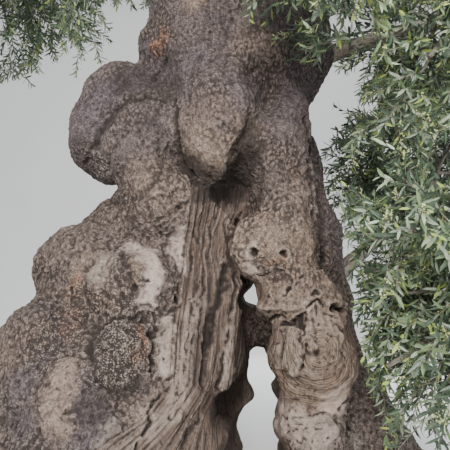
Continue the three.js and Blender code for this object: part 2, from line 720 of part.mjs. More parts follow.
// One mass: its stem, twigs and sprays fused into one body
function growMass(mass, seed) {
  const random = seeded(seed);
  const stem = stemPath(mass);
  const stemRadii = [mass.limb.radii[1], STEM_RADIUS_END];
  const solids = [toSolid(tubeGeometry({ path: stem, radii: stemRadii }, STEM_STEPS, TWIG_SIDES))];
  const sprays = [];
  const halfWidth = (SPRAY.width * mass.spraySize) / 2;
  const addSpray = (root, direction, facing) => {
    const spray = makeSpray(mass, root, direction, facing);
    const apart = SPRAY.apart * halfWidth * 2;
    if (isFree(mass, [root, ...spray.waist, spray.tip], halfWidth) && !crossesSpray(spray, sprays, apart)) {
      solids.push(toSolid(sprayGeometry(spray)));
      sprays.push(spray);
    }
  };
  for (let index = 0; index < TWIGS; index += 1) {
    const path = twigPath(mass, stem, index, random);
    const spin = random() * 2 * Math.PI;
    const [root, middle, end] = path.getSpacedPoints(TWIG_STEPS);
    const clear = root.clone().lerp(middle, TWIG_CLEAR);
    if (isFree(mass, [clear, middle], TWIG_RADII[0]) && isFree(mass, [middle, end], TWIG_RADII[0])) {
      solids.push(toSolid(tubeGeometry({ path, radii: TWIG_RADII }, TWIG_STEPS, TWIG_SIDES)));
      SPRAY_PLACES.forEach((place, number) => {
        const last = place === 1;
        const heading = path.getTangentAt(place);
        const [across, over] = sideways(heading);
        const angle = spin + number * GOLDEN_ANGLE;
        const square = across.multiplyScalar(Math.cos(angle)).addScaledVector(over, Math.sin(angle));
        const aside = heading.clone().multiplyScalar(SPRAY_LEAN.along);
        aside.addScaledVector(square, SPRAY_LEAN.across);
        const direction = last ? heading : aside;
        const facing = last ? square : heading.clone().cross(square);
        addSpray(path.getPointAt(place), direction.normalize(), facing);
      });
    }
  }
  addSpray(stem.getPoint(1), stem.getTangent(1), sideways(stem.getTangent(1))[0]);
  return largestShell(solids.reduce((sum, solid) => sum.add(solid)));
}

// The trunk: its meshed surface cut flat at the ground, with a socket for each bough that it carries
async function trunkGeometry() {
  const skirt = TRUNK_LOW[2] + SKIRT_CELLS * TRUNK_CELL[2];
  const skirted = (x, y, z) => Math.max(trunkField(x, y, z), skirt - z);
  const fine = meshField(skirted, TRUNK_LOW, TRUNK_HIGH, TRUNK_CELL);
  const surplus = Math.floor(fine.attributes.position.count * (1 - TRUNK_FACES / (fine.index.count / 3)));
  const rough = toSolid(await new SimplifyModifier().modify(fine, surplus));
  const [width, depth, height] = TRUNK_HIGH.map((high, axis) => high - TRUNK_LOW[axis]);
  const aboveGround = new THREE.BoxGeometry(width, depth, height).translate(0, 0, height / 2);
  let trunk = rough.intersect(toSolid(aboveGround));
  const carried = [...MAIN_BOUGHS, ...SIDE_BOUGHS.filter(({ on }) => !on)];
  for (const { side } of carried) {
    trunk = trunk.subtract(toSolid(limbGeometry(limbs.get(side), CLEARANCE)));
  }
  return largestShell(trunk);
}

// A bough, with a socket for each bough that it carries
function boughGeometry(limb) {
  let bough = toSolid(limbGeometry(limb));
  for (const side of limb.sockets) {
    bough = bough.subtract(toSolid(limbGeometry(limbs.get(side), CLEARANCE)));
  }
  return largestShell(bough);
}

const tree = new THREE.Group();

function addPiece(name, geometry, material) {
  geometry.computeVertexNormals();
  const mesh = new THREE.Mesh(geometry, material);
  mesh.name = name;
  tree.add(mesh);
}

addPiece('trunk', await trunkGeometry(), bark);
for (const limb of limbs.values()) {
  addPiece(limb.name, boughGeometry(limb), boughBark);
}
masses.forEach((mass, index) => {
  addPiece(mass.name, growMass(mass, index + 1), leafage);
});

export default tree;
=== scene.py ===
"""Old olive tree: a hollow trunk covered in burls, with its boughs, twigs, leaves and flower buds.

Metres, +Z up. The trunk's bare side faces -Y. Boughs and foliage grow by the rule that the solids follow,
carried on to finer twigs and leaves.
"""
import functools
import math
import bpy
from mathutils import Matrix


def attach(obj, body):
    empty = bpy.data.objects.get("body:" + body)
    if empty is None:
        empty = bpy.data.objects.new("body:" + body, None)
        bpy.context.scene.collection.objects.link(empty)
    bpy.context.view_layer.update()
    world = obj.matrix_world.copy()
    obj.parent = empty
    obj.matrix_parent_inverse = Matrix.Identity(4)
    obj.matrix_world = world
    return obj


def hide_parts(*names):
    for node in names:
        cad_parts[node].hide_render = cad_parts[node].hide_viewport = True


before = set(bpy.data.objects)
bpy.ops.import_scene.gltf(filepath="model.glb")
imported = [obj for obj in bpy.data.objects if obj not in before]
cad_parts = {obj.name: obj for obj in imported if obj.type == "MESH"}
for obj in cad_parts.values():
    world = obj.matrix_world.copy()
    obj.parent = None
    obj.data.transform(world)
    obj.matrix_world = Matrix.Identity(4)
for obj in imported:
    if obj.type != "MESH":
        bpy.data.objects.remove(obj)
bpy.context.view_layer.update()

from concurrent.futures import ThreadPoolExecutor

import bpy
import numpy as np
from mathutils import Vector

bl_info = {
    "name": "Old Olive Tree",
    "version": (1, 0, 0),
    "blender": (4, 5, 0),
    "location": "3D View > Sidebar > Olive",
    "description": "Grows an old olive tree with a burled trunk, boughs, twigs, leaves and flower buds",
    "category": "Add Mesh",
}

# Driving dimensions of the fork and crown
FORK = (0.17, 0, 2.59)
FORK_REACH = 0.35
FORK_RISE = 0.37
COLLAR_RADII = (0.27, 0.2)
CROWN_CENTRE = (0.17, 0)
CLEARANCE = 0.0004
SOCKET_DEPTH = 0.11

# Strands of the trunk: name, start, end, radius at each, all blended into one smooth body
BODY = [
    ("left_mass_top", (-0.04, 0, 1.75), (-0.18, -0.02, 1.15), 0.37, 0.32),
    ("left_mass_middle", (-0.18, -0.02, 1.15), (-0.2, -0.04, 0.6), 0.32, 0.35),
    ("left_mass_foot", (-0.2, -0.04, 0.6), (-0.3, -0.04, -0.1), 0.35, 0.54),
    ("neck", (0.02, 0.02, 1.65), (0.085, 0.01, 2.15), 0.39, 0.43),
    ("shoulders", (0.085, 0.01, 2.15), (0.175, 0.01, 2.45), 0.43, 0.5),
    ("head", (0.175, 0.01, 2.45), FORK, 0.5, 0.48),
    ("nose_bridge", (0.095, -0.23, 2.25), (0.075, -0.33, 1.85), 0.19, 0.18),
    ("back_column_top", (0.32, 0.06, 2.05), (0.44, 0.08, 1.6), 0.2, 0.19),
    ("back_column_middle", (0.44, 0.08, 1.6), (0.53, 0.11, 1.25), 0.19, 0.2),
    ("back_column_low", (0.53, 0.11, 1.25), (0.59, 0.13, 0.85), 0.2, 0.17),
    ("back_column_foot", (0.59, 0.13, 0.85), (0.69, 0.16, -0.1), 0.17, 0.3),
    ("inner_wall", (0.09, 0.16, 1.5), (0.09, 0.19, 0.25), 0.14, 0.13),
    ("left_root", (-0.43, -0.15, 1.15), (-0.95, -0.3, 0), 0.26, 0.33),
    ("front_left_root", (-0.3, -0.25, 0.8), (-0.56, -0.7, -0.06), 0.28, 0.3),
    ("front_root", (-0.15, -0.2, 0.7), (-0.17, -0.7, -0.08), 0.25, 0.25),
    ("back_left_root", (-0.4, 0.2, 0.9), (-0.85, 0.5, -0.05), 0.25, 0.26),
    ("back_root", (-0.1, 0.25, 0.9), (-0.15, 0.85, -0.05), 0.28, 0.26),
    ("back_right_root", (0.52, 0.25, 0.7), (0.7, 0.7, -0.06), 0.18, 0.24),
    ("right_root", (0.65, 0.1, 0.6), (1.0, 0, -0.06), 0.16, 0.22),
]

# The narrow front column on the right and the bridge of wood behind the gap
COLUMN = [
    ("column_top", (0.36, -0.15, 2.08), (0.37, -0.29, 1.75), 0.17, 0.15),
    ("column_middle", (0.37, -0.29, 1.75), (0.375, -0.33, 1.35), 0.15, 0.155),
    ("column_low", (0.36, -0.33, 1.2), (0.47, -0.34, 0.85), 0.15, 0.15),
    ("column_foot", (0.49, -0.34, 0.7), (0.44, -0.34, -0.06), 0.15, 0.14),
    ("bridge", (0.13, 0.15, 0.79), (0.52, 0.15, 0.81), 0.08, 0.09),
]

# Burls: name, middle and the three radii of each
BURLS = [
    ("dark_lobe", (-0.43, -0.15, 2.01), (0.21, 0.22, 0.2)),
    ("left_lobe", (-0.51, -0.15, 1.79), (0.215, 0.23, 0.24)),
    ("shoulder_lobe", (-0.29, -0.27, 1.77), (0.23, 0.2, 0.26)),
    ("lower_lobe", (-0.19, -0.26, 1.4), (0.235, 0.24, 0.225)),
    ("nose", (0.075, -0.37, 1.76), (0.215, 0.215, 0.3)),
    ("small_round_burl", (-0.29, -0.2, 2.33), (0.075, 0.075, 0.075)),
    ("upper_swelling", (0.27, -0.3, 2.25), (0.18, 0.15, 0.2)),
    ("smooth_knot", (-0.29, -0.37, 0.99), (0.215, 0.195, 0.175)),
    ("eye", (-0.32, -0.46, 0.72), (0.15, 0.17, 0.15)),
    ("left_shoulder", (-0.56, -0.23, 1.05), (0.25, 0.26, 0.27)),
    ("low_left_burl", (-0.68, -0.33, 0.64), (0.27, 0.28, 0.32)),
    ("pale_patch", (-0.54, -0.54, 0.48), (0.13, 0.18, 0.18)),
    ("column_face", (0.33, -0.33, 1.18), (0.205, 0.19, 0.195)),
    ("column_saddle", (0.44, -0.33, 0.93), (0.225, 0.18, 0.125)),
    ("swirl_burl", (0.515, -0.34, 0.68), (0.19, 0.18, 0.215)),
]

# The fan of bare wood between the burls and the gap: ribs that spread toward the foot
RIB_COUNT = 7
RIB_RADII = (0.03, 0.038, 0.048)
RIB_TOP = ((-0.15, -0.33, 1.45), (0.14, -0.32, 1.45))
RIB_MIDDLE = ((-0.23, -0.375, 0.95), (0.14, -0.375, 0.95))
RIB_FOOT = ((-0.48, -0.56, 0.33), (0.05, -0.44, 0.33))

# Hollows cut into the trunk: the gap between the two columns and the cave under the fan
HOLLOWS = [
    ("gap_high", (0.195, -0.48, 1.54), (0.205, -0.06, 1.0), 0.085, 0.06),
    ("gap_front", (0.205, -0.6, 0.96), (0.22, -0.06, 0.9), 0.04, 0.06),
    ("gap_low", (0.23, -0.7, 0.54), (0.36, 0.7, 0.56), 0.09, 0.09),
    ("gap_foot", (0.19, -0.7, 0.24), (0.35, 0.7, 0.3), 0.15, 0.13),
    ("slit", (0.215, -0.3, 0.94), (0.275, 0.7, 1.01), 0.04, 0.055),
    ("root_cave", (0.112, -0.56, 0.47), (0.16, 0, 0.45), 0.075, 0.115),
    ("nose_side", (0.205, -0.52, 1.76), (0.17, -0.48, 1.6), 0.018, 0.045),
    ("nose_cavity", (0.17, -0.48, 1.6), (0.12, -0.32, 1.46), 0.045, 0.1),
]

# Broad lumps all over the trunk: two sets of crossing waves, with the length, shift and height of each
SWELLS = [(0.52, 0.7, 0.017), (0.33, 2.3, 0.01)]

# How far two shapes flow into each other where they meet
BLEND_BODY = 0.16
BLEND_COLUMN = 0.06
BLEND_BURL = 0.055
BLEND_RIB = 0.03
BLEND_HOLLOW = 0.04

# Main boughs: side, compass direction from +X toward +Y, and the reach, height and radii of their masses
MAIN_BOUGHS = [
    ("back_right", 30, 1.9, 4.05, (1.2, 1.15, 0.88)),
    ("back", 102, 1.85, 4.42, (1.2, 1.15, 0.8)),
    ("left", 162, 1.78, 3.48, (1.15, 1.18, 0.92)),
    ("front_left", 240, 1.85, 4.2, (1.2, 1.15, 0.86)),
    ("front_right", 308, 1.85, 4.15, (1.2, 1.15, 0.86)),
]
MAIN_RADII = (0.145, 0.048)
MAIN_LEAN = 0.72

# Upper boughs: side, the main bough that carries it and how far along, direction, reach and height
UPPER_BOUGHS = [
    ("upper_back", "back_right", 0.42, 68, 1.0, 5.06),
    ("upper_left", "left", 0.42, 156, 1.02, 5.04),
    ("upper_front", "front_left", 0.44, 250, 1.0, 5.0),
    ("upper_right", "front_right", 0.42, 340, 1.02, 5.08),
    ("top", "back", 0.45, 104, 0.08, 5.42),
]
UPPER_RADII = (0.074, 0.032)
UPPER_MASS_RADII = (1.05, 1.05, 0.8)

# Side boughs: side, carrier and how far along or else the start, first heading, tip, radii, mass
SIDE_BOUGHS = [
    ("right", None, (0.47, -0.02, 2.3), (0.94, 0.1, 0.3), (1.08, -0.06, 2.48),
     (0.066, 0.036), (0.98, -0.57, 2.08), (0.64, 0.72, 0.64)),
    ("far_right", None, (0.52, 0.17, 0.9), (0.72, 0.25, 0.6), (1.33, 0.38, 1.6),
     (0.056, 0.032), (1.52, 0.64, 1.93), (0.78, 0.8, 0.86)),
    ("near_right", "right", 0.62, (0.86, -0.4, 0.1), (1.4, -0.56, 1.64),
     (0.034, 0.022), (0.9, -0.74, 0.98), (0.54, 0.66, 0.72)),
    ("front_hanging", "front_right", 0.7, (-0.2, -0.75, 0.1), (0.64, -1.01, 2.9),
     (0.04, 0.024), (0.56, -1.0, 2.32), (0.44, 0.44, 0.52)),
]

# Growth of a mass: one stem, twigs that leave it toward all sides, sprays along the twigs
TWIGS = 8
TWIG_STEPS = 2
LIMB_STEPS = 4
LIMB_BEND = 0.5
GOLDEN_ANGLE = math.pi * (3 - math.sqrt(5))
STEM_RADIUS_END = 0.009
TWIG_RADII = (0.013, 0.006)
TIP_INSET = 0.72
STEM_STRAIGHT = 0.7
STEM_ONWARD = 0.45
TWIG_TURN = 0.6
TWIG_SHELL = (0.9, 1)
TWIG_BEHIND = 0.22
TWIG_FORK = (0.16, 0.94)
TWIG_BOW = 0.16
TWIG_CLEAR = 0.25
SPRAY_LENGTH = 0.6
SPRAY_WIDTH = 0.32
SPRAY_THICKNESS = 0.02
SPRAY_WIDEST = 0.45
SPRAY_APART = 0.3
SPRAY_EDGE = 1.02
SPRAY_LEAN = (0.55, 0.85)
FULL_SPRAY_RADIUS = 1.0
SPRAY_PLACES = (0.42, 0.66, 0.86, 1)
SPACE_MARGIN = 0.004
LIMB_MARGIN = 0.006
TRUNK_MARGIN = 0.04

# The open side: no spray hangs between this eye point and the bare trunk
EYE = np.array((0.1, -2.6, 0.85))
OPEN_NEAR = 0.05
OPEN_BACK = 0.4
OPEN_TOP = 0.66
OPEN_RIGHT = [(-0.3, 0.31), (0.05, 0.25), (0.45, 0.23), (0.54, 0.2), (0.62, 0.04)]

# The camera at the eye point: how far it looks up, its field of view and the photograph's side in pixels
CAMERA_PITCH = math.radians(11)
CAMERA_FIELD = math.radians(50)
PHOTO_SIDE = 450


def length_property(name, description, default, low, high):
    return bpy.props.FloatProperty(
        name=name, description=description, default=default, min=low, max=high,
        subtype="DISTANCE", unit="LENGTH")


def factor_property(name, description, default, low, high):
    return bpy.props.FloatProperty(
        name=name, description=description, default=default, min=low, max=high, subtype="FACTOR")


def colour_property(name, description, default):
    return bpy.props.FloatVectorProperty(
        name=name, description=description, default=default, size=3, min=0, max=1, subtype="COLOR")


class OliveTrunkSettings(bpy.types.PropertyGroup):
    """Sizes of the trunk and boughs."""

    cell: length_property("Cell", "Size of a cell of the trunk's mesh on its far sides", 0.028, 0.01, 0.05)
    relief: factor_property("Relief", "Depth of the bark's lumps and cracks against the real ones", 1, 0, 2)
    limb_sides: bpy.props.IntProperty(
        name="Limb sides", description="Faces round a main bough", default=26, min=8, max=48)


class OliveLeafSettings(bpy.types.PropertyGroup):
    """Sizes of the leaves and buds."""

    length: length_property("Leaf length", "Length of a full-grown leaf", 0.062, 0.03, 0.1)
    width: length_property("Leaf width", "Width of a full-grown leaf", 0.0125, 0.005, 0.03)
    far_size: factor_property(
        "Far leaf size", "Size of the leaves of the far masses against the near ones", 1.25, 1, 2)
    spacing: length_property("Leaf spacing", "Distance between two pairs of leaves", 0.021, 0.01, 0.06)
    bud: length_property("Bud size", "Width of a flower bud", 0.0045, 0.002, 0.01)


class OliveColourSettings(bpy.types.PropertyGroup):
    """Colours of bark, wood, leaves and buds."""

    bark: colour_property("Bark", "Grey-brown of the rough bark", (0.128, 0.097, 0.084))
    bark_dark: colour_property("Dark bark", "Brown of cracks and shaded bark", (0.02, 0.015, 0.013))
    # The light bark also serves for painted highlights on raised tops, grains and specks
    bark_light: colour_property("Light bark", "Pale tops of the bark's grains", (0.33, 0.275, 0.235))
    wood: colour_property("Bare wood", "Pinkish grey of weathered bare wood", (0.28, 0.222, 0.188))
    fibre: colour_property("Old wood", "Reddish brown of the fan's fibres", (0.12, 0.082, 0.062))
    tan: colour_property("Tan", "Warm brown of the burls' faces", (0.245, 0.175, 0.127))
    rust: colour_property("Rust", "Orange-brown stains", (0.3, 0.115, 0.048))
    # The violet also serves as painted shade of the crown toward the fork
    violet: colour_property("Violet brown", "Dark purplish bark of the upper burls", (0.08, 0.067, 0.09))
    lichen: colour_property("Lichen", "Grey-green lichen", (0.205, 0.205, 0.17))
    leaf_dark: colour_property("Leaf top", "Dark green of the leaves' upper side", (0.052, 0.08, 0.05))
    leaf_mid: colour_property("Leaf green", "Middle green of lit leaves", (0.12, 0.172, 0.08))
    leaf_silver: colour_property("Leaf underside", "Silvery green of the lower side", (0.285, 0.34, 0.24))
    leaf_young: colour_property("Young leaf", "Yellow-green of young leaves", (0.28, 0.35, 0.085))
    bud: colour_property("Bud", "Pale yellow-green of the flower buds", (0.52, 0.56, 0.26))


# Repeatable random numbers and noise

def seeded(seed):
    """A repeatable stream of numbers from 0 to 1, the one that the solids use."""
    state = seed
    full = 0xFFFFFFFF
    while True:
        state = (state + 0x6D2B79F5) & full
        mixed = ((state ^ (state >> 15)) * (state | 1)) & full
        mixed ^= (mixed + (((mixed ^ (mixed >> 7)) * (mixed | 61)) & full)) & full
        yield ((mixed ^ (mixed >> 14)) & full) / 4294967296


NOISE_RANDOM = np.random.default_rng(11)
NOISE_ORDER = NOISE_RANDOM.permutation(256)
NOISE_SLOPES = NOISE_RANDOM.normal(size=(256, 3))
NOISE_SLOPES /= np.linalg.norm(NOISE_SLOPES, axis=1)[:, None]
NOISE_PLACES = NOISE_RANDOM.random((256, 3))


def lattice(x, y, z, shift):
    """A repeatable number from 0 to 255 for each whole-numbered cell."""
    return NOISE_ORDER[(NOISE_ORDER[(NOISE_ORDER[(x + shift) & 255] + y) & 255] + z) & 255]


PART_SIZE = 16384


def in_parts(rule, points):
    """Works a rule out for many points, some thousands of them at a time, side by side."""
    def part(start):
        return rule(np.ascontiguousarray(points[start:start + PART_SIZE].T, dtype=float))

    starts = range(0, max(len(points), 1), PART_SIZE)
    if len(starts) == 1:
        return part(0)
    with ThreadPoolExecutor() as pool:
        return np.concatenate(list(pool.map(part, starts)), axis=-1)


def noise(points, shift):
    """Smooth noise from about -1 to 1 that changes over a length of 1."""
    def rule(columns):
        base = np.floor(columns).astype(np.int64)
        part = columns - base
        smooth = part ** 3 * (part * (part * 6 - 15) + 10)
        weights = [(1 - smooth[axis], smooth[axis]) for axis in range(3)]
        total = np.zeros(columns.shape[1])
        for corner in range(8):
            i, j, k = corner & 1, corner >> 1 & 1, corner >> 2 & 1
            x, y, z = NOISE_SLOPES[lattice(base[0] + i, base[1] + j, base[2] + k, shift)].T
            lean = x * (part[0] - i) + y * (part[1] - j) + z * (part[2] - k)
            total += weights[0][i] * weights[1][j] * weights[2][k] * lean
        return total * 1.6

    return in_parts(rule, points)


def fractal(points, size, octaves, shift):
    """Noise of several sizes, each half as large as the one before."""
    total = np.zeros(len(points))
    for octave in range(octaves):
        total += 0.5 ** octave * noise(points * (2 ** octave / size) + octave * 17.3, shift + octave)
    return total


def ridged(points, size, octaves, shift):
    """Noise with sharp dark creases: 0 in a crease, toward 1 between them."""
    total = np.zeros(len(points))
    for octave in range(octaves):
        total += 0.5 ** octave * np.abs(noise(points * (2 ** octave / size) + octave * 9.1, shift + octave))
    return np.clip(total, 0, 1)


def pebbles(points, size, shift):
    """Rounded grains: how far a point is from the nearest grain's middle and from the next one's."""
    def rule(columns):
        scaled = columns / size
        base = np.floor(scaled).astype(np.int64)
        nearest = np.full(columns.shape[1], 9.0)
        second = nearest.copy()
        for corner in range(27):
            cell = [base[0] + corner % 3 - 1, base[1] + corner // 3 % 3 - 1, base[2] + corner // 9 - 1]
            places = NOISE_PLACES[lattice(*cell, shift)].T
            x, y, z = (cell[axis] + places[axis] - scaled[axis] for axis in range(3))
            gap = x ** 2 + y ** 2 + z ** 2
            second = np.minimum(second, np.maximum(gap, nearest))
            nearest = np.minimum(nearest, gap)
        return np.sqrt(np.stack([nearest, second]))

    return in_parts(rule, points)


def drift(points, size, shift):
    """A push for each point that changes smoothly from place to place."""
    return np.stack([noise(points / size, shift + axis) for axis in range(3)], axis=1)


def smoothstep(low, high, values):
    share = np.clip((values - low) / (high - low), 0, 1)
    return share * share * (3 - 2 * share)


# The trunk's smooth form, the same field as the solids'

def polar(bearing):
    angle = math.radians(bearing)
    return np.array((math.cos(angle), math.sin(angle), 0.0))


def blend(a, b, width):
    """Smooth union of two distances."""
    overlap = np.maximum(width - np.abs(a - b), 0) / width
    return np.minimum(a, b) - overlap * overlap * width * 0.25


def strand(columns, start, end, first, last):
    """Distance to a round bar whose radius changes from one end to the other."""
    start = np.asarray(start, float)
    along = np.asarray(end, float) - start
    x, y, z = (columns[axis] - start[axis] for axis in range(3))
    share = np.clip((x * along[0] + y * along[1] + z * along[2]) / (along @ along), 0, 1)
    x, y, z = x - share * along[0], y - share * along[1], z - share * along[2]
    return np.sqrt(x * x + y * y + z * z) - (first + share * (last - first))


def burl(columns, middle, radii):
    """Distance to an ellipsoid."""
    x, y, z = ((columns[axis] - middle[axis]) / radii[axis] for axis in range(3))
    near = np.sqrt(x * x + y * y + z * z)
    steep = np.sqrt((x / radii[0]) ** 2 + (y / radii[1]) ** 2 + (z / radii[2]) ** 2)
    return near * (near - 1) / np.maximum(steep, 1e-9)


def collars():
    """The fork swells toward each main bough."""
    for _, bearing, *_ in MAIN_BOUGHS:
        base = np.array(FORK) + polar(bearing) * FORK_REACH + (0, 0, FORK_RISE)
        yield "collar", FORK, base, *COLLAR_RADII


def fan_ribs():
    """Ribs of the fan, each two bars: from its top to its middle, and on to its foot."""
    top, middle, foot = (np.array(line) for line in (RIB_TOP, RIB_MIDDLE, RIB_FOOT))
    for index in range(RIB_COUNT):
        share = index / (RIB_COUNT - 1)
        places = [line[0] + (line[1] - line[0]) * share for line in (top, middle, foot)]
        yield "rib", places[0], places[1], RIB_RADII[0], RIB_RADII[1]
        yield "rib", places[1], places[2], RIB_RADII[1], RIB_RADII[2]


COLLARS = list(collars())
RIBS = list(fan_ribs())


def joined(columns, distance, bars, width):
    for _, *bar in bars:
        distance = blend(distance, strand(columns, *bar), width)
    return distance


def swelling(columns):
    """How far the broad lumps raise the trunk's surface."""
    x, y, z = columns
    rise = 0
    for length, shift, height in SWELLS:
        turns = 2 * np.pi / length
        across = np.sin((x + 0.6 * y) * turns + shift + np.sin(0.6 * z * turns))
        upward = np.sin(z * turns - shift + np.sin((0.7 * y - 0.35 * x) * turns))
        rise = rise + height * across * upward
    return rise


def trunk_rule(columns):
    nothing = np.full(columns.shape[1], 9.0)
    distance = joined(columns, nothing, BODY + COLLARS, BLEND_BODY)
    distance = blend(distance, joined(columns, nothing, COLUMN, BLEND_COLUMN), BLEND_COLUMN)
    for _, middle, radii in BURLS:
        distance = blend(distance, burl(columns, middle, radii), BLEND_BURL)
    distance = joined(columns, distance - swelling(columns), RIBS, BLEND_RIB)
    for _, *bar in HOLLOWS:
        distance = -blend(-distance, strand(columns, *bar), BLEND_HOLLOW)
    return distance


def trunk_field(points):
    """Distance to the trunk's surface, below zero inside the wood."""
    return in_parts(trunk_rule, points)


SLOPE_REACH = 0.002


def field_slope(points, field):
    """Value of a field and the direction in which it grows, from the corners of a small tetrahedron."""
    corners = np.array(((1, -1, -1), (-1, -1, 1), (-1, 1, -1), (1, 1, 1)), float)
    slope = np.zeros_like(points)
    value = np.zeros(len(points))
    for corner in corners:
        sample = field(points + corner * SLOPE_REACH)
        slope += corner * sample[:, None]
        value += sample / 4
    return value, slope / (4 * SLOPE_REACH)


def unit(vectors):
    return vectors / np.maximum(np.linalg.norm(vectors, axis=-1, keepdims=True), 1e-12)


# Mesh of a field's surface

CUBE_CORNERS = np.array([(bits & 1, bits >> 1 & 1, bits >> 2 & 1) for bits in range(8)])
CUBE_EDGES = [(first, first | bit) for first in range(8) for bit in (1, 2, 4) if not first & bit]
BLOCK = 4


def sampled_block(field, low, high, cell):
    """Field values on a fine grid: exact near the surface, and only the sign elsewhere."""
    counts = np.ceil((high - low) / (cell * BLOCK)).astype(int)
    axes = [low[axis] + cell * BLOCK * np.arange(counts[axis] + 1) for axis in range(3)]
    rough = field(np.stack(np.meshgrid(*axes, indexing="ij"), -1).reshape(-1, 3)).reshape(counts + 1)
    near = np.abs(rough) < cell * BLOCK * 1.8
    active = np.zeros(counts, bool)
    for i, j, k in CUBE_CORNERS:
        active |= near[i:counts[0] + i, j:counts[1] + j, k:counts[2] + k]
    values = rough[:-1, :-1, :-1]
    for axis in range(3):
        values = np.repeat(values, BLOCK, axis=axis)
    steps = np.stack(np.meshgrid(*[np.arange(BLOCK)] * 3, indexing="ij"), -1).reshape(-1, 3)
    places = (np.argwhere(active)[:, None] * BLOCK + steps).reshape(-1, 3)
    values[tuple(places.T)] = field(low + places * cell)
    return values


def surface_points(values, low, cell):
    """One point in each cell that the surface crosses, and the number of that point by cell."""
    inside = values < 0
    size = np.array(values.shape) - 1
    wood = np.zeros(size, np.int8)
    for i, j, k in CUBE_CORNERS:
        wood += inside[i:size[0] + i, j:size[1] + j, k:size[2] + k]
    cells = np.argwhere((wood > 0) & (wood < 8))
    corner_values = [values[tuple((cells + corner).T)] for corner in CUBE_CORNERS]
    total = np.zeros((len(cells), 3))
    crossings = np.zeros(len(cells))
    for first, last in CUBE_EDGES:
        start, end = corner_values[first], corner_values[last]
        crossed = (start < 0) != (end < 0)
        share = np.where(crossed, start / np.where(crossed, start - end, 1), 0)[:, None]
        place = CUBE_CORNERS[first] + share * (CUBE_CORNERS[last] - CUBE_CORNERS[first])
        total += crossed[:, None] * place
        crossings += crossed
    numbers = np.full(size, -1, np.int64)
    numbers[tuple(cells.T)] = np.arange(len(cells))
    return low + (cells + total / crossings[:, None]) * cell, numbers, inside


def surface_quads(numbers, inside):
    """Four points round each grid edge that the surface crosses, facing out of the wood."""
    quads = []
    for axis in range(3):
        second, third = (axis + 1) % 3, (axis + 2) % 3
        moved = np.moveaxis(inside, (axis, second, third), (0, 1, 2))
        cells = np.moveaxis(numbers, (axis, second, third), (0, 1, 2))
        start, end = moved[:-1, 1:-1, 1:-1], moved[1:, 1:-1, 1:-1]
        places = np.argwhere(start != end)
        i, j, k = places.T
        quad = np.stack([cells[i, j, k], cells[i, j + 1, k], cells[i, j + 1, k + 1], cells[i, j, k + 1]], 1)
        outward = start[i, j, k]
        quads.append(np.where(outward[:, None], quad, quad[:, ::-1]))
    return np.concatenate(quads)


def split_quads(points, quads):
    """Each quad becomes two triangles along its shorter diagonal."""
    a, b, c, d = quads.T
    first = np.linalg.norm(points[a] - points[c], axis=1) <= np.linalg.norm(points[b] - points[d], axis=1)
    one = np.where(first[:, None], np.stack([a, b, c], 1), np.stack([b, c, d], 1))
    two = np.where(first[:, None], np.stack([a, c, d], 1), np.stack([b, d, a], 1))
    return np.concatenate([one, two])


def largest_shell(points, triangles):
    """Keeps the largest connected piece of a mesh."""
    label = np.arange(len(points))
    while True:
        lowest = label[triangles].min(axis=1)
        following = label.copy()
        for corner in range(3):
            np.minimum.at(following, triangles[:, corner], lowest)
        for _ in range(4):
            following = following[following]
        if np.array_equal(following, label):
            break
        label = following
    kept = label == np.bincount(label).argmax()
    number = np.cumsum(kept) - 1
    return points[kept], number[triangles[kept[triangles[:, 0]]]]


def refine(points, triangles, chosen):
    """Splits the chosen triangles into four, and their neighbours so that no gap opens."""
    edges = np.sort(np.stack([triangles, np.roll(triangles, -1, axis=1)], -1), axis=-1)
    keys = edges[..., 0] * len(points) + edges[..., 1]
    split_keys = np.unique(keys[chosen])
    middles = (points[split_keys // len(points)] + points[split_keys % len(points)]) / 2
    place = np.minimum(np.searchsorted(split_keys, keys), len(split_keys) - 1)
    marked = split_keys[place] == keys
    middle = len(points) + place
    count = marked.sum(axis=1)
    made = [triangles[count == 0]]
    # One split edge: turned so that it is the first
    one = count == 1
    turn = (np.argmax(marked[one], axis=1)[:, None] + np.arange(3)) % 3
    a, b, c = np.take_along_axis(triangles[one], turn, 1).T
    m = np.take_along_axis(middle[one], turn, 1)[:, 0]
    made += [np.stack(t, 1) for t in ((a, m, c), (m, b, c))]
    # Two split edges: turned so that the third is whole
    two = count == 2
    turn = (np.argmin(marked[two], axis=1)[:, None] + 1 + np.arange(3)) % 3
    a, b, c = np.take_along_axis(triangles[two], turn, 1).T
    m, n, _ = np.take_along_axis(middle[two], turn, 1).T
    made += [np.stack(t, 1) for t in ((m, b, n), (a, m, n), (a, n, c))]
    a, b, c = triangles[count == 3].T
    m, n, o = middle[count == 3].T
    made += [np.stack(t, 1) for t in ((a, m, o), (m, b, n), (o, n, c), (m, n, o))]
    return np.concatenate([points, middles]), np.concatenate(made)


def drawn_to_surface(points, field, reach):
    """Moves points onto the surface along the field's slope, and gives the outward direction there."""
    for _ in range(2):
        value, slope = field_slope(points, field)
        step = np.clip(value, -reach, reach) / np.maximum(np.sum(slope ** 2, axis=1), 0.25)
        points = points - slope * step[:, None]
    return points, unit(field_slope(points, field)[1])


# Places on the bark that are named by a pixel of the photograph, found along its sight lines

FOCAL = PHOTO_SIDE / 2 / math.tan(CAMERA_FIELD / 2)
FORWARD = np.array((0, math.cos(CAMERA_PITCH), math.sin(CAMERA_PITCH)))
UPWARD = np.array((0, -math.sin(CAMERA_PITCH), math.cos(CAMERA_PITCH)))
RIGHTWARD = np.array((1.0, 0, 0))


def on_bark(pixels):
    """Where the sight lines through pixels of the photograph meet the trunk."""
    across, down = ((np.asarray(pixels, float) - PHOTO_SIDE / 2) / FOCAL).T
    lines = unit(FORWARD + across[:, None] * RIGHTWARD - down[:, None] * UPWARD)
    reach = np.full(len(lines), 1.2)
    for _ in range(50):
        reach += 0.75 * trunk_field(EYE + lines * reach[:, None])
    return EYE + lines * np.minimum(reach, 3.6)[:, None]


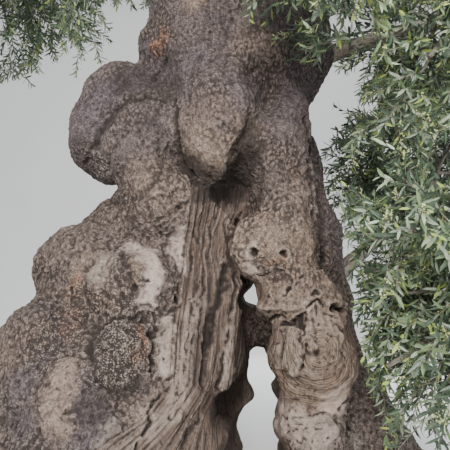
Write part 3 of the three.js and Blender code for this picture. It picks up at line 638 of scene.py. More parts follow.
def seen_at(points):
    """Pixel of the photograph at which a point is seen."""
    offset = points - EYE
    depth = offset @ FORWARD
    across = PHOTO_SIDE / 2 + FOCAL * (offset @ RIGHTWARD) / depth
    down = PHOTO_SIDE / 2 - FOCAL * (offset @ UPWARD) / depth
    return across, down


def path_on_bark(path):
    """A path of pixels laid on the bark, with a point every few pixels."""
    path = np.array(path, float).reshape(-1, 2)
    spots = [path[:1]]
    for start, end in zip(path[:-1], path[1:]):
        steps = max(1, int(np.linalg.norm(end - start) / 5))
        spots.append(start + (end - start) * (np.arange(1, steps + 1) / steps)[:, None])
    return np.concatenate(spots)


def distance_to_path(points, path, reach):
    """Distance to a path on the bark, for the points within reach of it, and the numbers of those points."""
    low, high = path.min(axis=0) - reach, path.max(axis=0) + reach
    near = np.flatnonzero(np.all((points > low) & (points < high), axis=1))
    nearby = np.ascontiguousarray(points[near].T)
    best = np.full(len(near), 9.0)
    starts, ends = (path, path) if len(path) == 1 else (path[:-1], path[1:])
    for start, end in zip(starts, ends):
        best = np.minimum(best, strand(nearby, start, end + 1e-6, 0, 0))
    return near, best


# Forms on the bark: each has a name, a path of pixels, across and down in turn, and sizes in millimetres

# Grooves: half width and depth
GROOVES = [
    ("over_nose", (211, 64, 220, 46, 238, 35, 258, 30, 274, 33), 40, 6),
    ("beside_nose", (174, 100, 176, 134, 181, 162, 196, 186), 30, 32),
    ("right_of_nose", (268, 74, 264, 92, 258, 108, 252, 122), 40, 8),
    ("across_dark_lobe", (86, 162, 95, 142, 103, 127, 113, 114, 127, 101, 146, 96, 164, 101), 28, 22),
    ("below_dark_lobe", (150, 84, 158, 72, 166, 62), 30, 20),
    ("between_lobes", (104, 172, 112, 150, 126, 132, 140, 120), 16, 10),
    ("lobe_underside", (82, 176, 92, 190, 106, 199, 124, 204, 140, 196, 160, 176), 34, 14),
    ("lobe_crack", (140, 205, 150, 200, 164, 198, 176, 190), 10, 10),
    ("lobe_curl", (158, 222, 168, 216, 178, 209, 187, 198), 16, 18),
    ("beside_strip", (160, 222, 162, 245, 168, 268, 174, 284), 12, 10),
    ("right_of_knot", (172, 258, 177, 276, 180, 296, 174, 312), 16, 14),
    ("left_of_knot", (92, 258, 83, 282, 86, 302, 98, 314), 20, 10),
    ("under_knot", (102, 326, 112, 319, 124, 316, 140, 318, 153, 326), 20, 36),
    ("knot_trough", (124, 258, 128, 274, 136, 290), 44, 18),
    ("right_of_eye", (153, 322, 154, 340, 153, 356, 149, 372), 18, 44),
    ("left_of_eye", (98, 326, 90, 342, 92, 360), 32, 18),
    ("under_eye", (92, 372, 108, 387, 126, 388, 142, 380), 22, 14),
    ("lower_crack", (84, 410, 92, 418, 104, 414, 112, 404), 8, 10),
    ("foot_crack", (160, 392, 154, 404, 146, 424, 136, 448), 12, 28),
    ("left_hole", (46, 386, 50, 380), 10, 20),
    ("plank_left", (157, 320, 156, 345, 154, 372), 10, 20),
    ("plank_end", (154, 376, 162, 384, 172, 376), 9, 16),
    ("plank_splinter", (172, 384, 164, 396, 156, 398), 9, 18),
    ("fan_crevice_right", (226, 264, 221, 290, 212, 320, 206, 350, 202, 384), 30, 40),
    ("fan_crevice_edge", (236, 276, 231, 306, 226, 340, 219, 392), 13, 30),
    ("fan_crevice_middle", (219, 200, 212, 236, 206, 262, 201, 300, 198, 340), 10, 20),
    ("fan_crevice_left", (203, 205, 196, 240, 190, 275), 9, 16),
    ("fan_crevice_top", (228, 195, 226, 228, 221, 256), 9, 14),
    ("fan_crevice_low", (192, 300, 186, 350, 176, 400, 160, 446), 9, 14),
    ("fan_crevice_foot", (208, 392, 196, 420, 186, 448), 12, 18),
    ("face_right", (306, 120, 310, 160, 311, 195, 314, 225, 322, 246, 319, 268), 26, 30),
    ("face_left", (241, 214, 230, 233, 227, 254, 235, 274, 246, 283), 18, 22),
    ("face_crease", (254, 274, 262, 277, 270, 274, 278, 272, 287, 272), 10, 18),
    ("face_fold", (265, 247, 267, 240, 275, 236, 282, 238), 6, 8),
    ("face_upper_fold", (246, 220, 252, 215, 260, 212, 274, 209), 8, 10),
    ("face_middle_fold", (248, 226, 254, 219, 264, 217), 6, 7),
    ("face_side_fold", (297, 218, 299, 211, 306, 208, 311, 212), 7, 9),
    ("saddle_notch", (322, 268, 312, 274, 302, 280, 296, 287), 11, 20),
    ("under_saddle", (266, 323, 272, 318, 278, 315, 290, 319, 300, 320, 305, 310, 315, 302, 328, 306),
     13, 34),
    ("saddle_overhang", (282, 326, 292, 322, 303, 324), 22, 40),
    ("peg_crevice", (303, 320, 306, 338, 305, 358, 301, 374), 11, 36),
    ("peg_left", (282, 334, 281, 352, 283, 368), 10, 22),
    ("peg_outer", (273, 340, 272, 356, 275, 372), 9, 14),
    ("splinter_first", (316, 308, 320, 320, 327, 332, 332, 338), 8, 18),
    ("splinter_second", (308, 304, 312, 322, 318, 336), 6, 10),
    ("swirl_hole", (308, 350, 316, 353, 326, 351), 13, 30),
    ("swirl_low_eye", (318, 372, 322, 364), 8, 18),
    ("swirl_side", (340, 348, 344, 362, 340, 376), 7, 10),
    ("swirl_sweep_one", (296, 378, 308, 372, 322, 374, 336, 366), 5, 8),
    ("swirl_sweep_two", (290, 396, 304, 398, 320, 390, 338, 378), 5, 8),
    ("swirl_sweep_three", (292, 386, 306, 386, 322, 382), 4, 7),
    ("block_top", (284, 417, 304, 417, 326, 414, 332, 420), 10, 14),
    ("block_crack", (282, 431, 304, 431, 326, 430), 6, 14),
    ("block_low_crack", (280, 441, 300, 440, 322, 442), 5, 12),
    ("block_high_crack", (288, 424, 306, 425, 324, 423), 4, 8),
    ("block_side", (326, 430, 327, 446), 7, 16),
    ("block_short_crack", (302, 416, 304, 424), 4, 10),
    ("behind_swirl", (333, 418, 342, 406, 350, 398), 14, 16),
    ("base_crack", (335, 420, 338, 446), 10, 22),
]

# Rolls that stand out: half width and height
ROLLS = [
    ("nose_tip", (206, 168, 220, 166, 236, 150), 70, 10),
    ("nose_right", (236, 76, 241, 98, 241, 122, 237, 142, 228, 162), 75, 22),
    ("upper_bulge", (240, 60, 262, 48, 284, 58), 100, 12),
    ("small_round_burl", (158, 45), 66, 22),
    ("olive_bump", (195, 3), 56, 24),
    ("dark_lobe_brow", (96, 96, 112, 80, 132, 72), 70, 14),
    ("front_lobe_brow", (106, 148, 113, 131, 123, 119, 136, 111, 152, 108), 45, 15),
    ("lower_lobe_lip", (160, 196, 176, 184, 186, 192, 182, 202), 34, 10),
    ("knot_rim_right", (150, 250, 161, 268, 168, 288, 156, 302), 34, 10),
    ("knot_shoulder", (140, 262, 148, 272), 40, 8),
    ("knot_rim_left", (102, 262, 95, 282, 98, 300), 34, 12),
    ("knot_chin", (104, 311, 128, 308, 156, 312), 22, 16),
    ("knot_lower_lip", (138, 299, 150, 300, 160, 292), 16, 8),
    ("eye_mound", (122, 345, 124, 360), 110, 14),
    ("lower_roll", (88, 398, 104, 408, 116, 424, 110, 440), 50, 14),
    ("strip_edge", (188, 204, 185, 232, 179, 262, 176, 278), 12, 14),
    ("fan_edge", (237, 284, 236, 310, 235, 340), 12, 12),
    ("fan_right_plank", (231, 320, 227, 350, 224, 388), 20, 18),
    ("fan_rib", (212, 200, 205, 250, 197, 300, 189, 360, 180, 420), 18, 14),
    ("fan_left_rib", (196, 300, 186, 340, 180, 380), 22, 12),
    ("face_cheek_left", (244, 222, 238, 240, 240, 260, 248, 272), 50, 22),
    ("face_cheek_right", (300, 222, 312, 244, 306, 262), 40, 10),
    ("face_socket", (247, 258, 248, 248, 255, 244, 261, 249, 260, 260), 10, 7),
    ("saddle_lip", (262, 308, 284, 308, 300, 306, 308, 298, 322, 292), 26, 16),
    ("saddle_ridge", (302, 276, 318, 272, 330, 286, 340, 300), 26, 18),
    ("cavity_rim", (326, 310, 332, 320, 343, 322, 350, 318), 12, 10),
    ("right_lump", (354, 318, 357, 332), 30, 14),
    ("splinter_left", (308, 312, 310, 330, 314, 342), 14, 20),
    ("splinter_middle", (318, 306, 326, 320, 334, 330), 12, 18),
    ("splinter_right", (330, 316, 336, 328, 342, 342), 16, 12),
    ("swirl_brow", (306, 342, 316, 346, 326, 344), 14, 14),
    ("swirl_shelf", (288, 376, 302, 372, 318, 380), 20, 8),
]

# Flat plates and blocks with steep edges: half width and height
PLATES = [
    ("plank", (168, 322, 167, 348, 166, 370), 30, 9),
    ("strip", (178, 232, 175, 248, 179, 268), 34, 8),
    ("peg", (291, 330, 294, 350, 292, 366), 34, 26),
    ("peg_side", (278, 348, 279, 364), 22, 12),
    ("block", (294, 432, 322, 434), 75, 12),
]

# Holes: radius and depth
HOLES = [
    ("knot_hollow", (136, 286), 22, 14),
    ("knot_hole", (151, 279), 11, 24),
    ("knot_pit", (147, 284), 10, 18),
    ("knot_notch", (124, 255), 18, 20),
    ("knot_dot", (137, 253), 9, 12),
    ("plank_nick_top", (169, 324), 7, 12),
    ("plank_nick_middle", (166, 344), 6, 10),
    ("plank_nick_low", (166, 362), 7, 12),
    ("face_eye_left", (254, 253), 27, 34),
    ("face_eye_right", (282, 254), 21, 30),
    ("face_nostril", (275, 261), 11, 14),
    ("face_spot", (275, 226), 9, 14),
    ("face_low_spot", (258, 268), 10, 16),
    ("face_side_spot", (303, 232), 8, 8),
    ("saddle_pit_left", (267, 294), 12, 18),
    ("saddle_pit_middle", (287, 293), 16, 22),
    ("saddle_pit_right", (313, 294), 22, 26),
    ("saddle_gap", (296, 287), 13, 22),
    ("cavity_left", (334, 309), 30, 60),
    ("cavity_right", (342, 314), 34, 60),
    ("swirl_eye", (322, 330), 12, 14),
    ("left_lobe_pit", (73, 290), 18, 14),
    ("patch_pit", (66, 410), 14, 10),
    ("fan_pit", (176, 298), 18, 26),
]

# Tones laid on the bark: path, half width and strength of each patch
PATCHES = {
    "wood": [
        ((106, 262, 98, 276), 65, 0.34),
        ((133, 250, 146, 256, 154, 268, 155, 284, 146, 298), 46, 0.85),
        ((168, 322, 167, 348, 166, 372), 36, 0.6),
        ((180, 232, 177, 248, 181, 270), 46, 0.85),
        ((64, 368, 64, 388, 58, 404, 58, 425), 46, 0.22),
        ((196, 300, 186, 340, 180, 400, 150, 430), 50, 0.45),
        ((120, 440, 150, 425), 85, 0.32),
        ((250, 262, 248, 250, 254, 243), 26, 0.55),
        ((252, 266, 258, 272), 24, 0.6),
        ((286, 420, 306, 426, 326, 440), 85, 0.62),
        ((328, 402, 340, 394, 334, 410), 50, 0.9),
        ((228, 330, 226, 380), 30, 0.45),
        ((308, 310, 312, 330, 326, 322, 338, 336), 60, 0.65),
    ],
    "tan": [
        ((64, 368, 64, 388, 58, 404, 58, 425), 70, 0.75),
        ((96, 296, 112, 301), 50, 0.7),
        ((134, 262, 132, 284), 40, 0.8),
        ((200, 150, 222, 160, 240, 140), 140, 0.8),
        ((190, 120, 215, 110), 120, 0.35),
        ((150, 176, 166, 190, 180, 188), 130, 0.5),
        ((195, 3), 70, 0.9),
        ((248, 44, 266, 46), 110, 0.4),
        ((250, 236, 262, 230, 296, 244, 306, 262), 150, 0.9),
        ((296, 176, 300, 200, 306, 222), 60, 0.6),
        ((264, 296, 290, 300, 330, 290), 120, 0.8),
        ((296, 392, 320, 404, 345, 392), 60, 0.6),
        ((50, 380, 60, 400), 80, 0.5),
        ((112, 302, 92, 300), 50, 0.5),
        ((236, 396, 246, 380), 90, 0.5),
        ((72, 306, 84, 280, 88, 262), 70, 0.6),
        ((16, 352, 34, 334), 90, 0.5),
        ((150, 402, 128, 412), 60, 0.5),
    ],
    "rust": [
        ((160, 42), 75, 1.0),
        ((202, 214, 200, 240, 196, 262), 36, 0.55),
        ((140, 330, 143, 346, 137, 354), 36, 0.8),
        ((77, 278, 73, 293), 26, 0.6),
        ((290, 410, 312, 411, 330, 406), 22, 0.7),
        ((82, 168), 30, 0.35),
        ((66, 330, 74, 318), 50, 0.35),
        ((60, 392, 66, 402), 30, 0.35),
        ((280, 258, 270, 264), 22, 0.35),
        ((326, 384, 338, 376), 22, 0.5),
    ],
    "violet": [
        ((92, 120, 112, 96, 140, 84, 160, 76), 170, 0.9),
        ((78, 150, 84, 172), 110, 0.7),
        ((180, 30, 200, 50), 140, 0.5),
        ((46, 318, 34, 366, 18, 410, 30, 440), 110, 0.7),
        ((84, 392, 98, 416, 92, 442), 110, 0.8),
        ((108, 396, 134, 392), 60, 0.6),
        ((226, 270, 214, 316, 204, 350, 202, 384), 50, 1.0),
        ((236, 280, 230, 320), 26, 0.6),
        ((320, 170, 336, 220, 346, 270), 130, 0.7),
    ],
    "lichen": [
        ((118, 340, 126, 354, 116, 368), 80, 0.45),
        ((292, 330, 294, 350, 292, 368), 45, 0.95),
        ((278, 348, 279, 364), 26, 0.6),
        ((358, 326, 360, 340), 40, 0.6),
        ((100, 262, 94, 280), 40, 0.4),
        ((346, 424, 352, 440), 60, 0.5),
        ((126, 110), 30, 0.5),
    ],
    # Grit patches: stronger painted shade between the grains and painted highlights on them
    "grit": [
        ((120, 342, 124, 356, 116, 370), 130, 1.0),
        ((126, 310, 146, 306), 60, 0.8),
        ((70, 330, 50, 350, 90, 300), 120, 0.6),
        ((352, 250, 360, 300), 110, 1.0),
        ((88, 180, 96, 200, 90, 160), 110, 0.8),
    ],
    # Painted shade and shadow: under the nose and in the cavities beside it, in the lobes' creases, beside
    # the eye, in the fan's crevices and the gap, and over the upper left
    "dark": [
        ((245, 132, 244, 160, 234, 186, 206, 192), 80, 1.0),
        ((250, 150, 246, 172, 236, 196), 70, 1.0),
        ((192, 164, 204, 173, 218, 177, 231, 169, 240, 153), 75, 0.85),
        ((176, 112, 179, 140, 184, 165, 196, 186), 30, 0.8),
        ((96, 330, 92, 344), 40, 0.6),
        ((86, 404, 96, 418, 104, 408), 50, 0.5),
        ((104, 392, 124, 394, 142, 386), 40, 0.5),
        ((316, 190, 322, 240, 320, 262), 30, 0.6),
        ((128, 84, 148, 82, 164, 92), 110, 0.6),
        ((80, 152, 84, 170), 80, 0.5),
        ((88, 160, 103, 128, 127, 102, 160, 99), 30, 0.55),
        ((150, 112, 162, 150, 172, 172), 50, 0.35),
        ((166, 58, 174, 84), 70, 0.5),
        ((204, 292, 196, 350, 190, 380), 40, 0.35),
        ((222, 270, 214, 310, 206, 350, 204, 384), 16, 0.7),
        ((246, 350, 236, 380, 226, 405), 120, 0.5),
    ],
}

# The fan of bare wood: its left and right edges in pixels, from its top down
FAN_LEFT = [(190, 196), (184, 240), (178, 290), (171, 330), (168, 385), (140, 420), (90, 452)]
FAN_RIGHT = [(243, 190), (240, 214), (231, 232), (228, 254), (236, 276), (240, 300), (238, 350), (230, 392),
             (214, 420), (214, 452)]

# The swirl of grain on the low burl of the column: pixel of its middle, and its radius
SWIRL_MIDDLE = (318, 350)
SWIRL_RADIUS = 0.26


def strokes(points, pieces, shape, warp):
    """Sum of what each named path does to the points near it."""
    total = np.zeros(len(points))
    for _, path, width, height in pieces:
        near, gap = distance_to_path(points, path, width * 1.8)
        total[near] += height / 1000 * shape(gap / width + warp[near])
    return total


def laid_on_bark(*tables):
    """The same tables with their pixel paths turned into places on the bark, and widths in metres."""
    paths = [path_on_bark(row[1]) for table in tables for row in table]
    places = np.split(on_bark(np.concatenate(paths)), np.cumsum([len(path) for path in paths])[:-1])
    rows = iter(places)
    return [[(name, next(rows), width / 1000, size) for name, _, width, size in table] for table in tables]


def between_edges(rows, left, right):
    """How far across a strip, from 0 at its left edge to 1 at its right, a seen place lies."""
    left_rows, right_rows = np.array(left, float), np.array(right, float)
    across, down = rows
    start = np.interp(down, left_rows[:, 1], left_rows[:, 0])
    end = np.interp(down, right_rows[:, 1], right_rows[:, 0])
    return (across - start) / (end - start), down > left_rows[0, 1] - 8


# Forms of the rough bark: depth and width of each
LUMPS = (0.01, 0.15)
FOLDS = (0.013, 0.085)
WRINKLES = (0.008, 0.034)
GRAINS = (0.005, 0.019)
PITS = (0.005, 0.036)
# From this height down the folds and wrinkles deepen
OLD_BARK_TOP = 1.65


def on_the_front(points, outward):
    """From 0 to 1, how well the camera sees each place on the front of the trunk."""
    facing = np.einsum("ij,ij->i", outward, unit(EYE - points))
    return smoothstep(-0.15, 0.25, facing) * smoothstep(0.12, -0.02, points[:, 1])


def fan_wood(points, in_front):
    """The fan's cover, the relief of its fibres that run down between its edges, and the way across it."""
    share, below = between_edges(seen_at(points), FAN_LEFT, FAN_RIGHT)
    rough_share = share + 0.03 * noise(points / 0.06, 42)
    cover = smoothstep(-0.03, 0.04, rough_share) * smoothstep(1.16, 1.06, rough_share) * in_front
    cover = cover * below * smoothstep(0.1, 0.2, 1.75 - points[:, 2])
    grain = np.stack([share * 2.6, points[:, 2] * 0.45, points[:, 1] * 0.4], axis=1)
    fibres = 0.015 * (ridged(grain, 0.3, 2, 50) - 0.3)
    fibres += 0.007 * noise(grain * (11, 2.2, 2), 52) + 0.004 * noise(grain * (26, 5, 4), 53)
    return cover, fibres, share


def gap_wood(points):
    """The inner walls of the gap, which are old fibrous wood as well: their cover and relief."""
    cover = smoothstep(0.055, 0.02, gap_distance(points)) * smoothstep(1.45, 1.15, points[:, 2])
    grain = np.stack([points[:, 0] * 9, points[:, 1] * 9, points[:, 2] * 1.3], axis=1)
    return cover, 0.02 * (ridged(grain, 1.0, 3, 54) - 0.25)


def swirl_wood(points, in_front):
    """The swirl of grain: its cover, the relief of its rings and the distance from its middle."""
    middle = on_bark([SWIRL_MIDDLE])[0]
    ring = np.linalg.norm((points - middle) * (1, 0.5, 1), axis=1)
    cover = smoothstep(SWIRL_RADIUS, SWIRL_RADIUS - 0.05, ring) * in_front
    cover = cover * smoothstep(0.92, 0.86, points[:, 2])
    turn = np.arctan2(points[:, 2] - middle[2], points[:, 0] - middle[0])
    ring = ring + 0.012 * noise(points / 0.07, 55)
    rings = np.stack([ring, 0.05 * np.cos(turn), 0.05 * np.sin(turn)], axis=1)
    return cover, 0.012 * (ridged(rings, 0.034, 2, 56) - 0.3) + 0.003 * noise(rings / 0.009, 58), ring


def rough_bark(points):
    """Crumpled folds, wrinkles, grains and pits, drawn out a little up and down."""
    drawn = points + 0.026 * drift(points, 0.1, 60) + 0.01 * drift(points, 0.035, 75)
    old = 1 + 0.7 * smoothstep(OLD_BARK_TOP, OLD_BARK_TOP - 0.4, points[:, 2])
    folds = FOLDS[0] * old * (np.sqrt(ridged(drawn * (1, 1, 0.7), FOLDS[1], 3, 66) + 0.01) - 0.55)
    wrinkles = WRINKLES[0] * old * (np.sqrt(ridged(drawn * (1, 1, 0.8), WRINKLES[1], 2, 69) + 0.01) - 0.55)
    near, _ = pebbles(drawn, GRAINS[1], 72)
    pit, _ = pebbles(points, PITS[1], 74)
    grains = GRAINS[0] * (0.6 - near) + 0.003 * noise(drawn / 0.012, 73)
    grains -= PITS[0] * smoothstep(0.34, 0.12, pit)
    return folds + wrinkles + grains


def smoothed_share(points, patches):
    """From 0 to 1, how smooth bare wood and tan patches make the bark."""
    smooth = np.zeros(len(points))
    for tone, path, width, strength in patches:
        if tone in ("wood", "tan"):
            close, gap = distance_to_path(points, path, width * 1.4)
            calm = (0.85 if tone == "wood" else 0.5) * strength * smoothstep(1.15, 0.7, gap / width)
            smooth[close] = np.maximum(smooth[close], calm)
    return smooth


def hole_depths(points, holes, ragged):
    """How deep the holes are at each point, with a low rim round each."""
    sunk = np.zeros(len(points))
    for _, place, radius, depth in holes:
        close, gap = distance_to_path(points, place, radius * 2.2)
        gap = gap / radius + 0.7 * ragged[close]
        rim = 0.12 * (depth / 1000) * np.exp(-9 * (gap - 1.25) ** 2)
        sunk[close] += depth / 1000 * smoothstep(1.0, 0.35, gap) - rim
    return sunk


def patch_tones(points, patches, ragged):
    """Cover of each tone, with ragged edges."""
    tones = {tone: np.zeros(len(points)) for tone in PATCHES}
    for tone, path, width, strength in patches:
        close, gap = distance_to_path(points, path, width * 1.8)
        cover = strength * smoothstep(1.25, 0.45, gap / width + 1.3 * ragged[close])
        tones[tone][close] = np.maximum(tones[tone][close], cover)
    return tones


def bark_relief(points, outward, depth):
    """How far the bark stands out of the smooth form at each point, and the tone of each place."""
    toned = [(tone, *row) for tone, rows in PATCHES.items() for row in rows]
    grooves, rolls, plates, holes, patches = laid_on_bark(GROOVES, ROLLS, PLATES, HOLES, toned)
    ragged = 0.3 * noise(points / 0.045, 40) + 0.16 * noise(points / 0.018, 41)
    wandering = points + 0.02 * drift(points, 0.06, 92) + 0.007 * drift(points, 0.02, 95)
    in_front = on_the_front(points, outward)
    fan, fan_fibres, fan_share = fan_wood(points, in_front)
    inner, inner_fibres = gap_wood(points)
    inner = inner * (1 - fan)
    swirl, swirls, ring = swirl_wood(points, in_front)
    rough = rough_bark(points) * (1 - smoothed_share(points, patches))
    bark = (1 - fan) * (1 - swirl) * (1 - inner)
    fine_relief = rough * bark + fan_fibres * fan + swirls * swirl + inner_fibres * inner
    relief = LUMPS[0] * fractal(points, LUMPS[1], 3, 63) * (1 - 0.5 * fan) + fine_relief

    relief -= strokes(wandering, grooves, lambda gap: np.clip(1 - gap, 0, 1) ** 1.3, ragged * 0.8)
    relief += strokes(wandering, rolls, lambda gap: np.exp(-2.2 * np.clip(gap, 0, 9) ** 2), ragged * 0.3)
    relief += strokes(wandering, plates, lambda gap: smoothstep(1.2, 0.8, gap), ragged * 0.6)
    sunk = hole_depths(wandering, holes, ragged)
    relief -= sunk

    tones = patch_tones(wandering, patches, ragged)
    # Painted shade of the crown: the bark darkens and turns violet toward the fork
    high = smoothstep(1.35, 1.8, points[:, 2]) * (0.8 + 0.6 * noise(points / 0.25, 98)) * (1 - tones["tan"])
    tones["violet"] = np.maximum(tones["violet"], 0.75 * np.clip(high, 0, 1))
    tones["fibre"] = np.maximum(fan, inner)
    tones["swirl"] = swirl
    # Painted shade in the grooves, the holes and the low places of the fine relief
    cut = strokes(wandering, grooves, lambda gap: np.clip(1 - gap, 0, 1), ragged * 0.8)
    shallow = 0.8 * smoothstep(-0.001, -0.01, fine_relief)
    tones["crack"] = np.clip(shallow + cut / 0.018 + sunk / 0.014, 0, 1)
    elsewhere = points[:, 0] + points[:, 1]
    tones["grain_across"] = np.where(fan > 0.5, fan_share * 0.3, np.where(swirl > 0.05, ring, elsewhere))
    return relief * depth, tones


def gap_distance(points):
    """Distance to the hollows of the gap, without those beside the nose."""
    bars = [bar for name, *bar in HOLLOWS if not name.startswith("nose")]
    return in_parts(lambda columns: np.min([strand(columns, *bar) for bar in bars], axis=0), points)


def edge_lengths(points, triangles):
    """Mean length of the edges round each point."""
    starts, ends = triangles.ravel(), triangles[:, [1, 2, 0]].ravel()
    length = np.linalg.norm(points[starts] - points[ends], axis=1)
    total = np.bincount(starts, length, minlength=len(points))
    return total / np.maximum(np.bincount(starts, minlength=len(points)), 1)


def hollowness(points, triangles, outward, spread):
    """How far each point lies below its neighbours, smoothed over a few rings of them."""
    edges = np.concatenate([triangles[:, [0, 1]], triangles[:, [1, 2]], triangles[:, [2, 0]]])
    count = np.bincount(edges[:, 0], minlength=len(points)).astype(float)

    def neighbours(values):
        total = np.bincount(edges[:, 0], values[edges[:, 1]], minlength=len(points))
        return total / np.maximum(count, 1)

    smooth = points
    for _ in range(spread):
        smooth = np.stack([neighbours(smooth[:, axis]) for axis in range(3)], axis=1)
    return np.einsum("ij,ij->i", smooth - points, outward)


TRUNK_LOW = np.array((-1.6, -1.3, -0.1))
TRUNK_HIGH = np.array((1.55, 1.45, 3.3))
FLOOR_DEPTH = 0.02
# Rounds of finer mesh on the seen side: how far a face may turn away, and how far back it may lie
FRONT_REFINED = [(-0.25, 0.2), (0.02, 0.1)]


def trunk_with_roots_of_boughs(points):
    """The trunk's field with the foot of each bough that leaves it, closed off just below the ground."""
    feet = list(bough_feet())

    def rule(columns):
        return np.maximum(joined(columns, trunk_rule(columns), feet, BLEND_BOUGH), -FLOOR_DEPTH - columns[2])

    return in_parts(rule, points)


@functools.lru_cache(maxsize=None)
def trunk_mesh(cell, depth):
    """Points, triangles and tones of the trunk, finer on the side that the photograph shows."""
    values = sampled_block(trunk_with_roots_of_boughs, TRUNK_LOW, TRUNK_HIGH, cell)
    points, numbers, inside = surface_points(values, TRUNK_LOW, cell)
    points, triangles = largest_shell(points, split_quads(points, surface_quads(numbers, inside)))
    points, outward = drawn_to_surface(points, trunk_with_roots_of_boughs, cell)
    for turned, slack in FRONT_REFINED:
        across, down = seen_at(points)
        facing = np.einsum("ij,ij->i", outward, unit(EYE - points))
        framed = (facing > turned) & (points[:, 1] < slack)
        framed &= (down > -10) & (across > -10) & (down < PHOTO_SIDE + 40)
        points, triangles = refine(points, triangles, framed[triangles].all(axis=1))
        points, outward = drawn_to_surface(points, trunk_with_roots_of_boughs, cell / 2)
    relief, tones = bark_relief(points, outward, depth)
    fade = smoothstep(0, 0.03, points[:, 2])
    points = points + outward * (relief * fade)[:, None]
    points[:, 2] = np.maximum(points[:, 2], 0)
    # How far each point lies below its neighbours, for the painted shade in hollows and the painted
    # highlight on raised tops
    hollow = hollowness(points, triangles, outward, 3)
    wide = hollowness(points, triangles, outward, 14)
    tones["hollow"] = np.clip(hollow / (0.75 * edge_lengths(points, triangles)), -1, 1)
    tones["hollow_wide"] = np.clip(wide / 0.02, -1, 1)
    return points, triangles, tones


# Boughs: the same limbs as the solids'

class Curve:
    """A bend from start to end, with places along it by share of its length."""

    def __init__(self, start, bend, end):
        self.knots = np.array((start, bend, end), float)
        self.shares = np.linspace(0, 1, 201)
        marks = self.point(self.shares)
        run = np.concatenate([[0], np.cumsum(np.linalg.norm(np.diff(marks, axis=0), axis=1))])
        self.length = run[-1]
        self.run = run / run[-1]

    def point(self, share):
        share = np.asarray(share, float)[..., None]
        start, bend, end = self.knots
        return (1 - share) ** 2 * start + 2 * (1 - share) * share * bend + share ** 2 * end

    def heading(self, share):
        share = np.asarray(share, float)[..., None]
        start, bend, end = self.knots
        return unit((1 - share) * (bend - start) + share * (end - bend))

    def point_at(self, share):
        return self.point(np.interp(share, self.run, self.shares))

    def heading_at(self, share):
        return self.heading(np.interp(share, self.run, self.shares))


class Limb:
    """A bough: its curve, radii, and the straight stretches that foliage keeps clear of."""

    def __init__(self, start, lean, tip, radii):
        self.curve = Curve(start, start + lean * np.linalg.norm(tip - start) * LIMB_BEND, tip)
        self.radii = radii
        self.spine = self.curve.point_at(np.arange(LIMB_STEPS + 1) / LIMB_STEPS)


class Mass:
    """The space that one mass of foliage keeps to."""

    def __init__(self, side, limb, at, radii):
        self.side = side
        self.limb = limb
        self.at = np.array(at, float)
        self.radii = np.array(radii, float)
        self.size = self.radii.mean()
        self.spray_size = min(1, self.size / FULL_SPRAY_RADIUS)


def tip_in_mass(start, at, radii):
    """Where a bough that comes from a point ends: just inside the mass that it carries."""
    return at - unit(at - start) * radii * TIP_INSET


def crown_place(bearing, reach, height):
    return polar(bearing) * reach + (*CROWN_CENTRE, height)


@functools.lru_cache(maxsize=None)
def crown():
    """Every bough by its side, and every mass of foliage."""
    limbs, masses = {}, []
    for (side, bearing, reach, height, radii), (_, _, base, *_) in zip(MAIN_BOUGHS, COLLARS):
        lean = polar(bearing) * MAIN_LEAN + (0, 0, math.sqrt(1 - MAIN_LEAN ** 2))
        start = base - lean * SOCKET_DEPTH
        at = crown_place(bearing, reach, height)
        limbs[side] = Limb(start, lean, tip_in_mass(start, at, radii), MAIN_RADII)
        masses.append(Mass(side, limbs[side], at, radii))
    for side, carrier, along, bearing, reach, height in UPPER_BOUGHS:
        curve = limbs[carrier].curve
        start = curve.point_at(along)
        at = crown_place(bearing, reach, height)
        tip = tip_in_mass(start, at, np.array(UPPER_MASS_RADII))
        lean = unit(unit(tip - start) + curve.heading_at(along))
        limbs[side] = Limb(start, lean, tip, UPPER_RADII)
        masses.append(Mass(side, limbs[side], at, UPPER_MASS_RADII))
    for side, carrier, place, lean, tip, radii, at, mass_radii in SIDE_BOUGHS:
        start = limbs[carrier].curve.point_at(place) if carrier else np.array(place)
        limbs[side] = Limb(start, unit(np.array(lean)), np.array(tip), radii)
        masses.append(Mass(side, limbs[side], at, mass_radii))
    return limbs, masses


BLEND_BOUGH = 0.07
FOOT_LENGTH = 0.45


def bough_feet():
    """The first stretch of each bough that leaves the trunk, as bars for the trunk's field."""
    limbs, _ = crown()
    on_trunk = [row[0] for row in MAIN_BOUGHS] + [row[0] for row in SIDE_BOUGHS if not row[1]]
    for side in on_trunk:
        limb = limbs[side]
        share = min(0.5, FOOT_LENGTH * limb.radii[0] / MAIN_RADII[0] / limb.curve.length)
        slim = limb.radii[0] * 0.93, (limb.radii[0] + (limb.radii[1] - limb.radii[0]) * share) * 0.86
        yield "foot", limb.curve.point_at(0), limb.curve.point_at(share), *slim


# The rule by which a mass grows

def stretch_gap(a, b, c, d):
    """Shortest distance between two straight stretches."""
    first, second, apart = b - a, d - c, a - c
    aa, bb, ab = first @ first, second @ second, first @ second
    ac, bc = first @ apart, second @ apart
    spread = aa * bb - ab * ab
    share = min(max((ab * bc - ac * bb) / spread, 0), 1) if spread > 1e-15 else 0
    other = min(max((ab * share + bc) / bb, 0), 1)
    share = min(max((ab * other - ac) / aa, 0), 1)
    return float(np.linalg.norm(a + first * share - c - second * other))


def touches_limb(start, end, radius):
    limbs, _ = crown()
    for limb in limbs.values():
        for step in range(LIMB_STEPS):
            width = limb.radii[0] + (limb.radii[1] - limb.radii[0]) * step / LIMB_STEPS
            gap = stretch_gap(start, end, limb.spine[step], limb.spine[step + 1])
            if gap < width + radius + LIMB_MARGIN:
                return True
    return False


